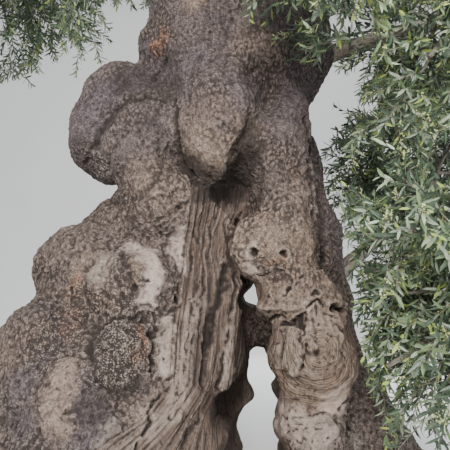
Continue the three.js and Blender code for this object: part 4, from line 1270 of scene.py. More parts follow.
def in_space(mass, points):
    """True for points in a mass's ellipsoid and on its side of the plane to each other mass."""
    offset = points - mass.at
    inside = np.sum((offset / mass.radii) ** 2, axis=1) <= 1
    power = np.sum(offset ** 2, axis=1) - mass.size ** 2
    for other in crown()[1]:
        if other is not mass:
            other_power = np.sum((points - other.at) ** 2, axis=1) - other.size ** 2
            inside &= (other_power - power) / (2 * np.linalg.norm(mass.at - other.at)) > SPACE_MARGIN
    return inside


def in_opening(points, slack=0.0):
    """True in front of the bare side of the trunk, as seen from the eye point."""
    depth = points[:, 1] - EYE[1]
    safe = np.maximum(depth, OPEN_NEAR)
    rise = (points[:, 2] - EYE[2]) / safe
    side = (points[:, 0] - EYE[0]) / safe
    rises, sides = zip(*OPEN_RIGHT)
    limit = np.interp(rise, rises, sides)
    open_side = (points[:, 1] <= OPEN_BACK) & (depth >= OPEN_NEAR) & (rise <= OPEN_TOP - slack)
    return open_side & (side < limit - slack)


def is_free(mass, points, radius):
    start, end = points[0], points[-1]
    middle = (start + end) / 2
    return bool(
        in_space(mass, points).all()
        and (trunk_field(np.array((start, middle, end))) >= TRUNK_MARGIN).all()
        and not in_opening(np.array((end, middle))).any()
        and not touches_limb(start, end, radius))


def sideways(direction):
    """Two directions square to a third."""
    helper = np.array((0, 0, 1.0) if abs(direction[2]) < 0.9 else (1.0, 0, 0))
    across = unit(np.cross(helper, direction))
    return across, np.cross(direction, across)


class Spray:
    """One pointed spray of leaves: where it grows, where it points and the flat that it lies in."""

    def __init__(self, mass, root, direction, facing):
        self.root = root
        self.direction = direction
        self.across = unit(np.cross(direction, facing))
        self.over = np.cross(direction, self.across)
        self.length = SPRAY_LENGTH * mass.spray_size
        self.half_width = SPRAY_WIDTH * mass.spray_size / 2
        self.tip = root + direction * self.length
        self.clear = root + (self.tip - root) * SPRAY_WIDEST / 2

    def corners(self):
        waist = self.root + self.direction * self.length * SPRAY_WIDEST
        side, face = self.across * self.half_width, self.over * SPRAY_THICKNESS / 2
        return np.array((self.root, waist + side, waist + face, waist - side, waist - face, self.tip))


def stem_curve(mass):
    """The stem runs on from the bough's tip through the middle of the mass."""
    curve = mass.limb.curve
    heading = curve.heading_at(1)
    start = curve.point_at(1) + heading * CLEARANCE
    onward = mass.at - start
    bend = start + heading * np.linalg.norm(onward) * STEM_STRAIGHT
    return Curve(start, bend, mass.at + onward * STEM_ONWARD)


def twig_curve(mass, stem, index, random):
    """Twig number index of a mass: it leaves the stem and bends toward its own part of the shell."""
    height = 1 - 2 * (index + 0.5) / TWIGS
    turn = index * GOLDEN_ANGLE + next(random) * TWIG_TURN
    level = math.sqrt(1 - height * height)
    outward = np.array((level * math.cos(turn), level * math.sin(turn), height))
    inset = mass.radii - SPRAY_LENGTH * mass.spray_size * SPRAY_EDGE
    inset = inset * (TWIG_SHELL[0] + (TWIG_SHELL[1] - TWIG_SHELL[0]) * next(random))
    end = mass.at + outward * inset
    line = stem.point(1) - stem.point(0)
    along = (end - stem.point(0)) @ line / (line @ line)
    leave = min(max(along - TWIG_BEHIND, TWIG_FORK[0]), TWIG_FORK[1])
    start = stem.point(leave)
    bend = (start + end) / 2 + stem.heading(leave) * np.linalg.norm(end - start) * TWIG_BOW
    return Curve(start, bend, end)


def grow_mass(mass, seed):
    """Stem, twigs and sprays of one mass, twig for twig as in the solids."""
    random = seeded(seed)
    stem = stem_curve(mass)
    twigs, sprays = [], []

    def add_spray(root, direction, facing):
        spray = Spray(mass, root, direction, facing)
        apart = SPRAY_APART * spray.half_width * 2
        crossed = any(stretch_gap(spray.clear, spray.tip, s.clear, s.tip) < apart for s in sprays)
        if not crossed and is_free(mass, spray.corners(), spray.half_width):
            sprays.append(spray)

    for index in range(TWIGS):
        curve = twig_curve(mass, stem, index, random)
        spin = next(random) * 2 * math.pi
        root, middle, end = curve.point_at(np.arange(TWIG_STEPS + 1) / TWIG_STEPS)
        clear = root + (middle - root) * TWIG_CLEAR
        free = is_free(mass, np.array((clear, middle)), TWIG_RADII[0])
        if free and is_free(mass, np.array((middle, end)), TWIG_RADII[0]):
            twigs.append(curve)
            for number, place in enumerate(SPRAY_PLACES):
                heading = curve.heading_at(place)
                across, over = sideways(heading)
                angle = spin + number * GOLDEN_ANGLE
                square = across * math.cos(angle) + over * math.sin(angle)
                if place == 1:
                    add_spray(curve.point_at(place), heading, square)
                else:
                    aside = unit(heading * SPRAY_LEAN[0] + square * SPRAY_LEAN[1])
                    add_spray(curve.point_at(place), aside, np.cross(heading, square))
    add_spray(stem.point(1), stem.heading(1), sideways(stem.heading(1))[0])
    return stem, twigs, sprays


@functools.lru_cache(maxsize=None)
def growth():
    """Stem, twigs and sprays of every mass."""
    return [(mass, *grow_mass(mass, number + 1)) for number, mass in enumerate(crown()[1])]


# Twigs, shoots and leaves that grow on from the sprays

def bezier(start, bend, end, shares):
    """Places and headings along many bends at once; the arrays hold one bend a row."""
    share = np.asarray(shares, float)[None, :, None]
    start, bend, end = (np.asarray(knot, float)[:, None] for knot in (start, bend, end))
    places = (1 - share) ** 2 * start + 2 * (1 - share) * share * bend + share ** 2 * end
    return places, unit((1 - share) * (bend - start) + share * (end - bend))


def square_to(headings, helper):
    """Two directions square to each heading, the first also square to a helper direction."""
    side = unit(np.cross(headings, helper))
    return side, np.cross(headings, side)


def tubes(places, headings, helper, radii, sides):
    """Closed round bars along many paths: points, quads with their end triangles, and the grain along each.

    places and headings hold path, ring and axis; radii holds path and ring.
    """
    paths, rings = places.shape[:2]
    across, over = square_to(headings, helper)
    angle = np.arange(sides) / sides * 2 * np.pi
    ring = across[:, :, None] * np.cos(angle)[:, None] + over[:, :, None] * np.sin(angle)[:, None]
    points = places[:, :, None] + ring * radii[..., None, None]
    first = (np.arange(paths) * rings * sides)[:, None, None]
    row = (np.arange(rings - 1) * sides)[None, :, None]
    step = np.arange(sides)
    onward = (step + 1) % sides
    near, far = first + row, first + row + sides
    corners = [near + step, near + onward, far + onward, far + step]
    a, b, c, d = (corner.reshape(-1) for corner in corners)
    triangles = np.concatenate([np.stack([a, b, c], 1), np.stack([a, c, d], 1)])
    middle = np.arange(1, sides - 1)
    last = (first + (rings - 1) * sides).reshape(-1, 1)
    fan = [last + 0 * middle, last + middle, last + middle + 1]
    triangles = np.concatenate([triangles, np.stack([corner.reshape(-1) for corner in fan], 1)])
    lengths = np.linalg.norm(np.diff(places, axis=1), axis=2)
    run = np.concatenate([np.zeros((paths, 1)), np.cumsum(lengths, axis=1)], 1)
    grain = np.stack(np.broadcast_arrays(
        radii[..., None] * np.cos(angle), radii[..., None] * np.sin(angle), run[..., None]), axis=-1)
    return points.reshape(-1, 3), triangles, grain.reshape(-1, 3)


def gathered(parts):
    """Several meshes, each with points, triangles and more point values, put together as one."""
    offsets = np.cumsum([0] + [len(part[0]) for part in parts[:-1]])
    triangles = np.concatenate([part[1] + offset for part, offset in zip(parts, offsets)])
    others = [np.concatenate(values) for values in list(zip(*parts))[2:]]
    return (np.concatenate([part[0] for part in parts]), triangles, *others)


NEAR_SIDES = ("right", "near_right", "front_hanging")
RING_HELPER = np.array((0.3, -0.5, 0.81))
LIMB_RINGS = 64
STEM_RINGS = 28
TWIG_RINGS = 9
SHOOTS_A_SPRAY = 13
SHOOT_LENGTH = (0.17, 0.29)
SHOOT_RADII = (0.0024, 0.0011)
AXIS_RADII = (0.005, 0.0016)
FILLER_EVERY = 0.042
FILLER_LENGTH = (0.13, 0.26)
TRAILING_PLACES = (0.55, 1.0)
TRAILING_LENGTH = (0.14, 0.24)
TRAILING_SHARE = 0.4
LEAF_KINDS = ("dark", "mid", "silver", "young")
# Share of each kind of leaf by the spray's random tone, from shaded to lit: painted shade and light, with
# more dark leaves on shaded sprays and more light ones on lit sprays
KIND_SHARES = np.array([(0.66, 0.22, 0.12, 0.0), (0.44, 0.34, 0.18, 0.04), (0.26, 0.4, 0.24, 0.1)])
REACH_LOW = np.array((-2.455, -2.66, 0.04))
REACH_HIGH = np.array((2.79, 2.69, 6.14))


def limb_paths():
    """Every bough with its stem: places, headings, radii, and whether it is a bough."""
    for mass, stem, _, _ in growth():
        limb = mass.limb
        shares = np.linspace(0, 1, LIMB_RINGS)
        radii = limb.radii[0] + (limb.radii[1] - limb.radii[0]) * shares
        yield limb.curve.point_at(shares), limb.curve.heading_at(shares), radii, True
        shares = np.linspace(0, 1, STEM_RINGS)
        radii = limb.radii[1] * 0.98 + (STEM_RADIUS_END - limb.radii[1] * 0.98) * shares
        places = stem.point_at(shares)
        places[0] -= stem.heading_at(0) * 0.01
        yield places, stem.heading_at(shares), radii, False


def limb_mesh(sides, depth):
    """All boughs and stems, with small knobs, rings and furrows on the thick ones."""
    parts = []
    for number, (places, headings, radii, bough) in enumerate(limb_paths()):
        random = np.random.default_rng(100 + number)
        count = sides if bough else max(8, sides // 2)
        wander = drift(places, 0.3, 80)
        fade = np.sin(np.linspace(0, 1, len(places)) * np.pi)[:, None]
        places = places + wander * fade * radii[:, None] * 0.1
        track = [np.linspace(0, 9, len(places)), *random.random((2, 1)) * 50 + np.zeros((2, len(places)))]
        uneven = radii * (1 + 0.07 * noise(np.stack(track, axis=1), 84))
        points, triangles, grain = tubes(places[None], headings[None], RING_HELPER, uneven[None], count)
        middle = np.repeat(places, count, axis=0)
        outward = unit(points - middle)
        size = np.repeat(radii, count)
        relief = 0.1 * size * fractal(points, 0.22, 3, 85)
        drawn = grain * (1, 1, 0.22)
        relief += np.minimum(size / 0.08, 1) * 0.0055 * (ridged(drawn, 0.03, 2, 88) - 0.3)
        near, second = pebbles(grain * (1, 1, 0.6), 0.032, 90)
        relief += np.minimum(size / 0.1, 1) * 0.004 * (smoothstep(0, 0.25, second - near) - 0.7)
        # Where the relief sinks, for the painted shade in the furrows
        furrow = np.clip(0.5 - ridged(drawn, 0.03, 2, 88), 0, 0.5) * 2
        parts.append((points + outward * (relief * depth)[:, None], triangles, grain, furrow))
    return gathered(parts)


@functools.lru_cache(maxsize=None)
def twig_bends():
    """Bends of all twigs, spray axes and shoots, as arrays of start, bend, end and the side they grow on."""
    twigs, axes, shoots, fillers = [], [], [], []
    random = np.random.default_rng(7)
    for mass, _, mass_twigs, sprays in growth():
        near = mass.side in NEAR_SIDES
        for curve in mass_twigs:
            start, bend, end = curve.knots
            twigs.append((start, bend, end, 0.0, near))
            count = int(curve.length / FILLER_EVERY)
            tone = random.random()
            for share in (np.arange(count) + random.random(count)) / max(count, 1) * 0.8 + 0.20:
                heading = curve.heading_at(share)
                across, over = sideways(heading)
                angle = random.random() * 2 * np.pi
                square = across * math.cos(angle) + over * math.sin(angle)
                length = FILLER_LENGTH[0] + (FILLER_LENGTH[1] - FILLER_LENGTH[0]) * random.random()
                root = curve.point_at(share)
                fillers.append(shoot_bend(root, heading, square, length, tone, near, random))
        for spray in sprays:
            tone = random.random()
            sag = np.array((0, 0, -1.0)) * spray.length * 0.05 * (random.random() - 0.2)
            sway = spray.across * spray.length * 0.1 * (random.random() - 0.5)
            bend = (spray.root + spray.tip) / 2 + sway - sag
            axes.append((spray.root, bend, spray.tip + sag, tone, near))
            middle = Curve(spray.root, bend, spray.tip + sag)
            for number in range(SHOOTS_A_SPRAY):
                share = 0.12 + 0.8 * (number + 0.6 * random.random()) / SHOOTS_A_SPRAY
                side = spray.across if number % 2 else -spray.across
                tilt = (random.random() - 0.5) * 1.9
                square = unit(side * math.cos(tilt) + spray.over * math.sin(tilt))
                taper = 1.12 - 0.55 * share
                length = (SHOOT_LENGTH[0] + (SHOOT_LENGTH[1] - SHOOT_LENGTH[0]) * random.random()) * taper
                length *= 0.5 + 0.5 * mass.spray_size
                shoots.append(shoot_bend(
                    middle.point_at(share), middle.heading_at(share), square, length, tone, near, random))
    return twigs, axes, shoots, fillers


def shoot_bend(root, heading, square, length, tone, near, random):
    """A shoot that leaves a twig sideways and curves back toward the twig's heading and a little down."""
    lean = unit(heading * 0.62 + square)
    onward = unit(heading * 1.05 + square * 0.75 + np.array((0, 0, -0.25 + 0.3 * random.random())))
    bend = root + lean * length * 0.5
    return root, bend, bend + onward * length * 0.52, tone, near


def bend_arrays(bends):
    return [np.array(column) for column in zip(*bends)]


# Where the photograph shows sky or a bare bough between the sprays: pixel and radius in pixels
SKY_GAPS = [
    ((326, 74), 13), ((334, 92), 17), ((322, 118), 15), ((338, 114), 12), ((324, 138), 10),
    ((330, 30), 10), ((348, 22), 8), ((366, 16), 9), ((350, 74), 8), ((398, 26), 8), ((420, 12), 9),
    ((328, 52), 9), ((343, 48), 10), ((358, 43), 10), ((373, 40), 9), ((438, 30), 8), ((374, 112), 6),
]


def in_sky_gap(points):
    """True for points that the camera sees inside one of those gaps."""
    across, down = seen_at(points)
    inside = np.zeros(len(points), bool)
    for (x, y), radius in SKY_GAPS:
        inside |= (across - x) ** 2 + (down - y) ** 2 < radius ** 2
    return inside & ((points - EYE) @ FORWARD > 0)


def allowed(start, bend, end):
    """Shoots that keep to the crown's reach, clear of the bare side, the trunk and the boughs."""
    kept = np.ones(len(start), bool)
    for places in ((start + end) / 2 * 0.5 + bend * 0.5, end):
        inside = np.zeros(len(start), bool)
        for mass in crown()[1]:
            offset = places - mass.at
            inside |= np.sum((offset / (mass.radii + 0.03)) ** 2, axis=1) <= 1
        kept &= inside & ~in_opening(places) & ~in_sky_gap(places) & (trunk_field(places) > 0.05)
        kept &= np.all((places > REACH_LOW + 0.05) & (places < REACH_HIGH - 0.05), axis=1)
    return kept


@functools.lru_cache(maxsize=None)
def kept_shoots():
    """Shoots of sprays and twigs that are allowed where they grow."""
    _, _, shoots, fillers = twig_bends()
    bends = bend_arrays(shoots + fillers)
    kept = allowed(*bends[:3])
    bends = [values[kept] for values in bends]
    trailing = trailing_shoots(*bends)
    kept = allowed(*trailing[:3])
    return [np.concatenate([values, more[kept]]) for values, more in zip(bends, trailing)]


def trailing_shoots(start, bend, end, tone, near):
    """Finer shoots that hang on from the others."""
    random = np.random.default_rng(29)
    places, headings = bezier(start, bend, end, TRAILING_PLACES)
    kept = random.random(places.shape[:2]) < TRAILING_SHARE
    places, headings = places[kept], headings[kept]
    count = len(places)
    lean = unit(headings + 0.75 * unit(random.normal(size=(count, 3))) + np.array((0, 0, -0.3)))
    length = random.uniform(*TRAILING_LENGTH, (count, 1))
    onward = unit(lean + np.array((0, 0, -0.55)))
    bends = places + lean * length * 0.5
    tone = np.broadcast_to(tone[:, None], kept.shape)[kept]
    near = np.broadcast_to(near[:, None], kept.shape)[kept]
    return places, bends, bends + onward * length * 0.5, tone, near


def helper_for(start, end):
    """A direction well away from each path's own, to turn its rings by."""
    along = unit(end - start)
    level = np.abs(along[:, 2]) < 0.8
    return np.where(level[:, None], np.array((0, 0, 1.0)), np.array((1.0, 0, 0)))[:, None]


def twig_mesh():
    """Twigs, the axes of the sprays and all shoots."""
    twigs, axes, _, _ = twig_bends()
    parts = []
    for bends, radii, rings, sides in (
            (bend_arrays(twigs), TWIG_RADII, TWIG_RINGS, 6),
            (bend_arrays(axes), AXIS_RADII, 6, 4),
            (kept_shoots(), SHOOT_RADII, 4, 3)):
        start, bend, end = bends[:3]
        places, headings = bezier(start, bend, end, np.linspace(0, 1, rings))
        taper = np.broadcast_to(np.linspace(*radii, rings), places.shape[:2])
        parts.append(tubes(places, headings, helper_for(start, end), taper, sides))
    return gathered(parts)


def leaf_places(bends, spacing, shares_from):
    """Where leaves leave their shoots, in opposite pairs that turn a quarter from one pair to the next."""
    start, bend, end, tone, near = bends
    length = np.linalg.norm(bend - start, axis=1) + np.linalg.norm(end - bend, axis=1)
    random = np.random.default_rng(23)
    rows = []
    for pairs in np.unique(np.maximum(np.round(length * (1 - shares_from) / spacing), 2)).astype(int):
        chosen = np.maximum(np.round(length * (1 - shares_from) / spacing), 2) == pairs
        shares = shares_from + (1 - shares_from) * np.arange(1, pairs + 1) / pairs
        places, headings = bezier(start[chosen], bend[chosen], end[chosen], shares)
        across, over = square_to(headings, helper_for(start[chosen], end[chosen]))
        turn = np.arange(pairs) * (np.pi / 2) + random.random((chosen.sum(), 1)) * np.pi
        turn = turn + random.normal(0, 0.25, turn.shape)
        size = np.interp(shares, (shares_from, 0.55, 0.85, 1), (0.72, 1.0, 0.95, 0.62))
        for half in (0, np.pi):
            angle = (turn + half)[..., None]
            aside = across * np.cos(angle) + over * np.sin(angle)
            rows.append([values.reshape(-1, values.shape[-1]) for values in (
                places, headings, aside, np.broadcast_to(size[None, :, None], turn.shape + (1,)),
                np.broadcast_to(tone[chosen, None, None], turn.shape + (1,)),
                np.broadcast_to(near[chosen, None, None], turn.shape + (1,)))])
    return [np.concatenate(column) for column in zip(*rows)]


# Outlines of a leaf: places along its length, half widths, and the faces between them
FAR_LEAF = (
    np.array([(0, 0, 0), (0.3, 0.92, 0.02), (0.3, -0.92, 0.02),
              (0.7, 0.86, 0), (0.7, -0.86, 0), (1, 0, -0.06)]),
    np.array([(0, 2, 1), (1, 2, 4), (1, 4, 3), (3, 4, 5)]))
NEAR_LEAF = (
    np.array([(0, 0, 0), (0.32, 0, -0.014), (0.32, 0.95, 0.02), (0.32, -0.95, 0.02),
              (0.7, 0, -0.02), (0.7, 0.8, 0.012), (0.7, -0.8, 0.012), (1, 0, -0.07)]),
    np.array([(0, 1, 2), (0, 3, 1), (2, 1, 4), (2, 4, 5), (1, 3, 6), (1, 6, 4), (5, 4, 7), (4, 6, 7)]))


def leaf_mesh(leaf, places, directions, sides, lengths, widths):
    """One leaf of the given outline at each place."""
    template, faces = leaf
    normals = np.cross(directions, sides)
    along = template[:, 0][None, :, None] * (directions * lengths)[:, None]
    aside = template[:, 1][None, :, None] * (sides * widths / 2)[:, None]
    above = template[:, 2][None, :, None] * (normals * lengths)[:, None]
    points = places[:, None] + along + aside + above
    triangles = faces[None] + (np.arange(len(places)) * len(template))[:, None, None]
    return points.reshape(-1, 3), triangles.reshape(-1, 3)


@functools.lru_cache(maxsize=None)
def all_leaves(length, width, spacing, far_size):
    """Place, direction, side, size, kind and nearness of every leaf."""
    _, axes, _, _ = twig_bends()
    on_axes = leaf_places(bend_arrays(axes), spacing * 1.15, 0.18)
    on_shoots = leaf_places(kept_shoots(), spacing, 0.1)
    places, headings, aside, size, tone, near = (np.concatenate(pair) for pair in zip(on_axes, on_shoots))
    random = np.random.default_rng(31)
    count = len(places)
    spread = np.clip(random.normal(0.85, 0.22, (count, 1)), 0.3, 1.4)
    directions = headings * np.cos(spread) + aside * np.sin(spread)
    directions = unit(directions + random.normal(0, 0.1, (count, 3)) + np.array((0, 0, -0.06)))
    upper = unit(headings - directions * np.sum(headings * directions, axis=1, keepdims=True))
    upper = unit(upper + np.array((0, 0, 0.35)) + random.normal(0, 0.3, (count, 3)))
    sides = unit(np.cross(upper, directions))
    swell = np.where(near > 0.5, 1.0, far_size)
    lengths = length * swell * size * random.uniform(0.82, 1.16, (count, 1))
    widths = width * swell * (0.6 + 0.4 * size) * random.uniform(0.85, 1.15, (count, 1))
    row = np.clip((tone[:, 0] * 3).astype(int), 0, 2)
    kinds = (random.random((count, 1)) > np.cumsum(KIND_SHARES, axis=1)[row][:, :3]).sum(axis=1)
    kinds[(size[:, 0] < 0.7) & (random.random(count) < 0.22)] = 3
    tips = places + directions * lengths
    kept = np.all((tips > REACH_LOW) & (tips < REACH_HIGH), axis=1) & ~in_opening(tips, 0.004)
    kept &= trunk_field(tips) > 0.012
    return [values[kept] for values in (places, directions, sides, lengths, widths, kinds, near[:, 0] > 0.5)]


# Outline of a bud: a small eight-faced grain
BUD_POINTS = np.array([(1, 0, 0), (-0.8, 0, 0), (0, 0.7, 0), (0, -0.7, 0), (0, 0, 0.7), (0, 0, -0.7)])
BUD_FACES = np.array([
    (0, 2, 4), (0, 4, 3), (0, 3, 5), (0, 5, 2), (1, 4, 2), (1, 3, 4), (1, 5, 3), (1, 2, 5)])
BUDS_A_CLUSTER = 7
STALK_RADII = (0.0011, 0.0008)
BUDDING_SHARE = 0.32
CLUSTER_LENGTH = 0.036


def bud_mesh(size):
    """Clusters of flower buds on short stalks, on the shoots of the near masses."""
    start, bend, end, _, near = kept_shoots()
    random = np.random.default_rng(47)
    chosen = near & (random.random(len(near)) < BUDDING_SHARE)
    places, headings = bezier(start[chosen], bend[chosen], end[chosen], (0.58, 0.74, 0.9))
    places, headings = places.reshape(-1, 3), headings.reshape(-1, 3)
    aside = unit(random.normal(size=places.shape))
    stalk = unit(headings * 0.7 + aside + np.array((0, 0, 0.35)))
    tips = places + stalk * CLUSTER_LENGTH
    kept = ~in_opening(tips, 0.002) & np.all((tips > REACH_LOW) & (tips < REACH_HIGH), axis=1)
    places, stalk, tips = places[kept], stalk[kept], tips[kept]
    bars = tubes(np.stack([places, tips], axis=1), np.stack([stalk, stalk], axis=1),
                 helper_for(places, tips), np.broadcast_to(STALK_RADII, (len(places), 2)), 3)[:2]
    share = (np.arange(BUDS_A_CLUSTER) + 1.5) / (BUDS_A_CLUSTER + 1)
    spots = places[:, None] + (tips - places)[:, None] * share[:, None]
    push = unit(random.normal(size=spots.shape))
    spots = spots + push * (0.009 * (1.15 - share)[:, None])
    scale = size * random.uniform(0.75, 1.2, spots.shape[:2])[..., None, None]
    along = unit(stalk[:, None] + push)
    across, over = square_to(along, np.array((0.2, 0.3, 0.93)))
    points = spots[:, :, None] + scale * (BUD_POINTS[:, 0, None] * along[:, :, None] * 0.75
                                          + BUD_POINTS[:, 1, None] * across[:, :, None]
                                          + BUD_POINTS[:, 2, None] * over[:, :, None])
    faces = BUD_FACES[None] + (np.arange(spots.shape[0] * spots.shape[1]) * len(BUD_POINTS))[:, None, None]
    return gathered([bars, (points.reshape(-1, 3), faces.reshape(-1, 3))])


# Building of meshes in Blender

PIECE_LIMIT = 190000


def point_normals(points, triangles):
    """Smooth direction at each point, from the faces round it."""
    a, b, c = points[triangles].transpose(1, 0, 2)
    face = np.cross(b - a, c - a)
    total = np.zeros_like(points)
    for axis in range(3):
        for corner in range(3):
            total[:, axis] += np.bincount(triangles[:, corner], face[:, axis], minlength=len(points))
    return unit(total)


def add_piece(name, points, triangles, material, nodes, values, normals):
    """One object from arrays, bound to the frame, with the solids that it stands for hidden."""
    mesh = bpy.data.meshes.new(name)
    mesh.vertices.add(len(points))
    mesh.vertices.foreach_set("co", np.ascontiguousarray(points, np.float32).ravel())
    mesh.loops.add(triangles.size)
    mesh.loops.foreach_set("vertex_index", np.ascontiguousarray(triangles, np.int32).ravel())
    mesh.polygons.add(len(triangles))
    mesh.polygons.foreach_set("loop_start", np.arange(0, triangles.size, 3, dtype=np.int32))
    mesh.polygons.foreach_set("use_smooth", np.full(len(triangles), True))
    mesh.update(calc_edges=True)
    for label, numbers in values.items():
        numbers = np.ascontiguousarray(numbers, np.float32)
        kind, field = ("FLOAT", "value") if numbers.ndim == 1 else ("FLOAT_VECTOR", "vector")
        mesh.attributes.new(label, kind, "POINT").data.foreach_set(field, numbers.ravel())
    if normals is not None:
        mesh.normals_split_custom_set_from_vertices(normals)
    mesh.materials.append(material)
    piece = bpy.data.objects.new(name, mesh)
    bpy.context.scene.collection.objects.link(piece)
    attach(piece, "root")
    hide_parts(*nodes)


def add_pieces(name, points, triangles, material, nodes, values=None, normals=None):
    """The same as one object, or as several numbered ones where the mesh is past the limit of a piece."""
    parts = math.ceil(len(triangles) / PIECE_LIMIT)
    for number, faces in enumerate(np.array_split(triangles, parts)):
        used, faces = np.unique(faces, return_inverse=True)
        part_values = {label: numbers[used] for label, numbers in (values or {}).items()}
        part_normals = None if normals is None else normals[used]
        add_piece(f"{name}_{number + 1}", points[used], faces.reshape(-1, 3), material, nodes,
                  part_values, part_normals)


class Graph:
    """Nodes of one material, built from the surface back to its inputs."""

    def __init__(self, name):
        self.material = bpy.data.materials.new(name)
        self.material.use_nodes = True
        self.nodes = self.material.node_tree.nodes
        self.links = self.material.node_tree.links
        self.shader = self.nodes["Principled BSDF"]
        self.place = self.make("ShaderNodeTexCoord").outputs["Object"]

    def make(self, kind, inputs=None, **settings):
        """A node with its settings, and each input linked or set."""
        node = self.nodes.new(kind)
        for label, value in settings.items():
            setattr(node, label, value)
        for label, value in (inputs or {}).items():
            self.feed(node.inputs[label], value)
        return node

    def feed(self, socket, value):
        if isinstance(value, bpy.types.NodeSocket):
            self.links.new(value, socket)
        elif socket.type == "RGBA" and len(value) == 3:
            socket.default_value = (*value, 1)
        else:
            socket.default_value = value

    def attribute(self, name, output="Fac"):
        return self.make("ShaderNodeAttribute", attribute_name=name).outputs[output]

    def stretched(self, scale, source=None):
        """Coordinates made finer or coarser along each axis."""
        inputs = {0: source or self.place, 1: scale}
        return self.make("ShaderNodeVectorMath", inputs, operation="MULTIPLY").outputs[0]

    def noise(self, scale, detail, roughness, source=None):
        inputs = {"Vector": source or self.place, "Scale": scale, "Detail": detail, "Roughness": roughness}
        return self.make("ShaderNodeTexNoise", inputs).outputs["Fac"]

    def grains(self, scale, source=None):
        inputs = {"Vector": source or self.place, "Scale": scale}
        return self.make("ShaderNodeTexVoronoi", inputs).outputs["Distance"]

    def math(self, operation, first, second):
        return self.make("ShaderNodeMath", {0: first, 1: second}, operation=operation).outputs[0]

    def times(self, first, second):
        return self.math("MULTIPLY", first, second)

    def span(self, value, low, high, start=0.0, end=1.0):
        """The value's share of the way from low to high, smoothed, laid between start and end."""
        inputs = {0: value, 1: low, 2: high, 3: start, 4: end}
        return self.make("ShaderNodeMapRange", inputs, interpolation_type="SMOOTHSTEP").outputs[0]

    def mix(self, share, first, second):
        node = self.make("ShaderNodeMix", data_type="RGBA")
        for place, value in ((0, share), (6, first), (7, second)):
            self.feed(node.inputs[place], value)
        return node.outputs[2]

    def finish(self, colour, roughness, specular, bump=None, depth=0.0):
        self.feed(self.shader.inputs["Base Color"], colour)
        self.feed(self.shader.inputs["Roughness"], roughness)
        self.shader.inputs["Specular IOR Level"].default_value = specular
        if bump is not None:
            inputs = {"Height": bump, "Distance": depth, "Strength": 1.0}
            self.feed(self.shader.inputs["Normal"], self.make("ShaderNodeBump", inputs).outputs[0])
        return self.material


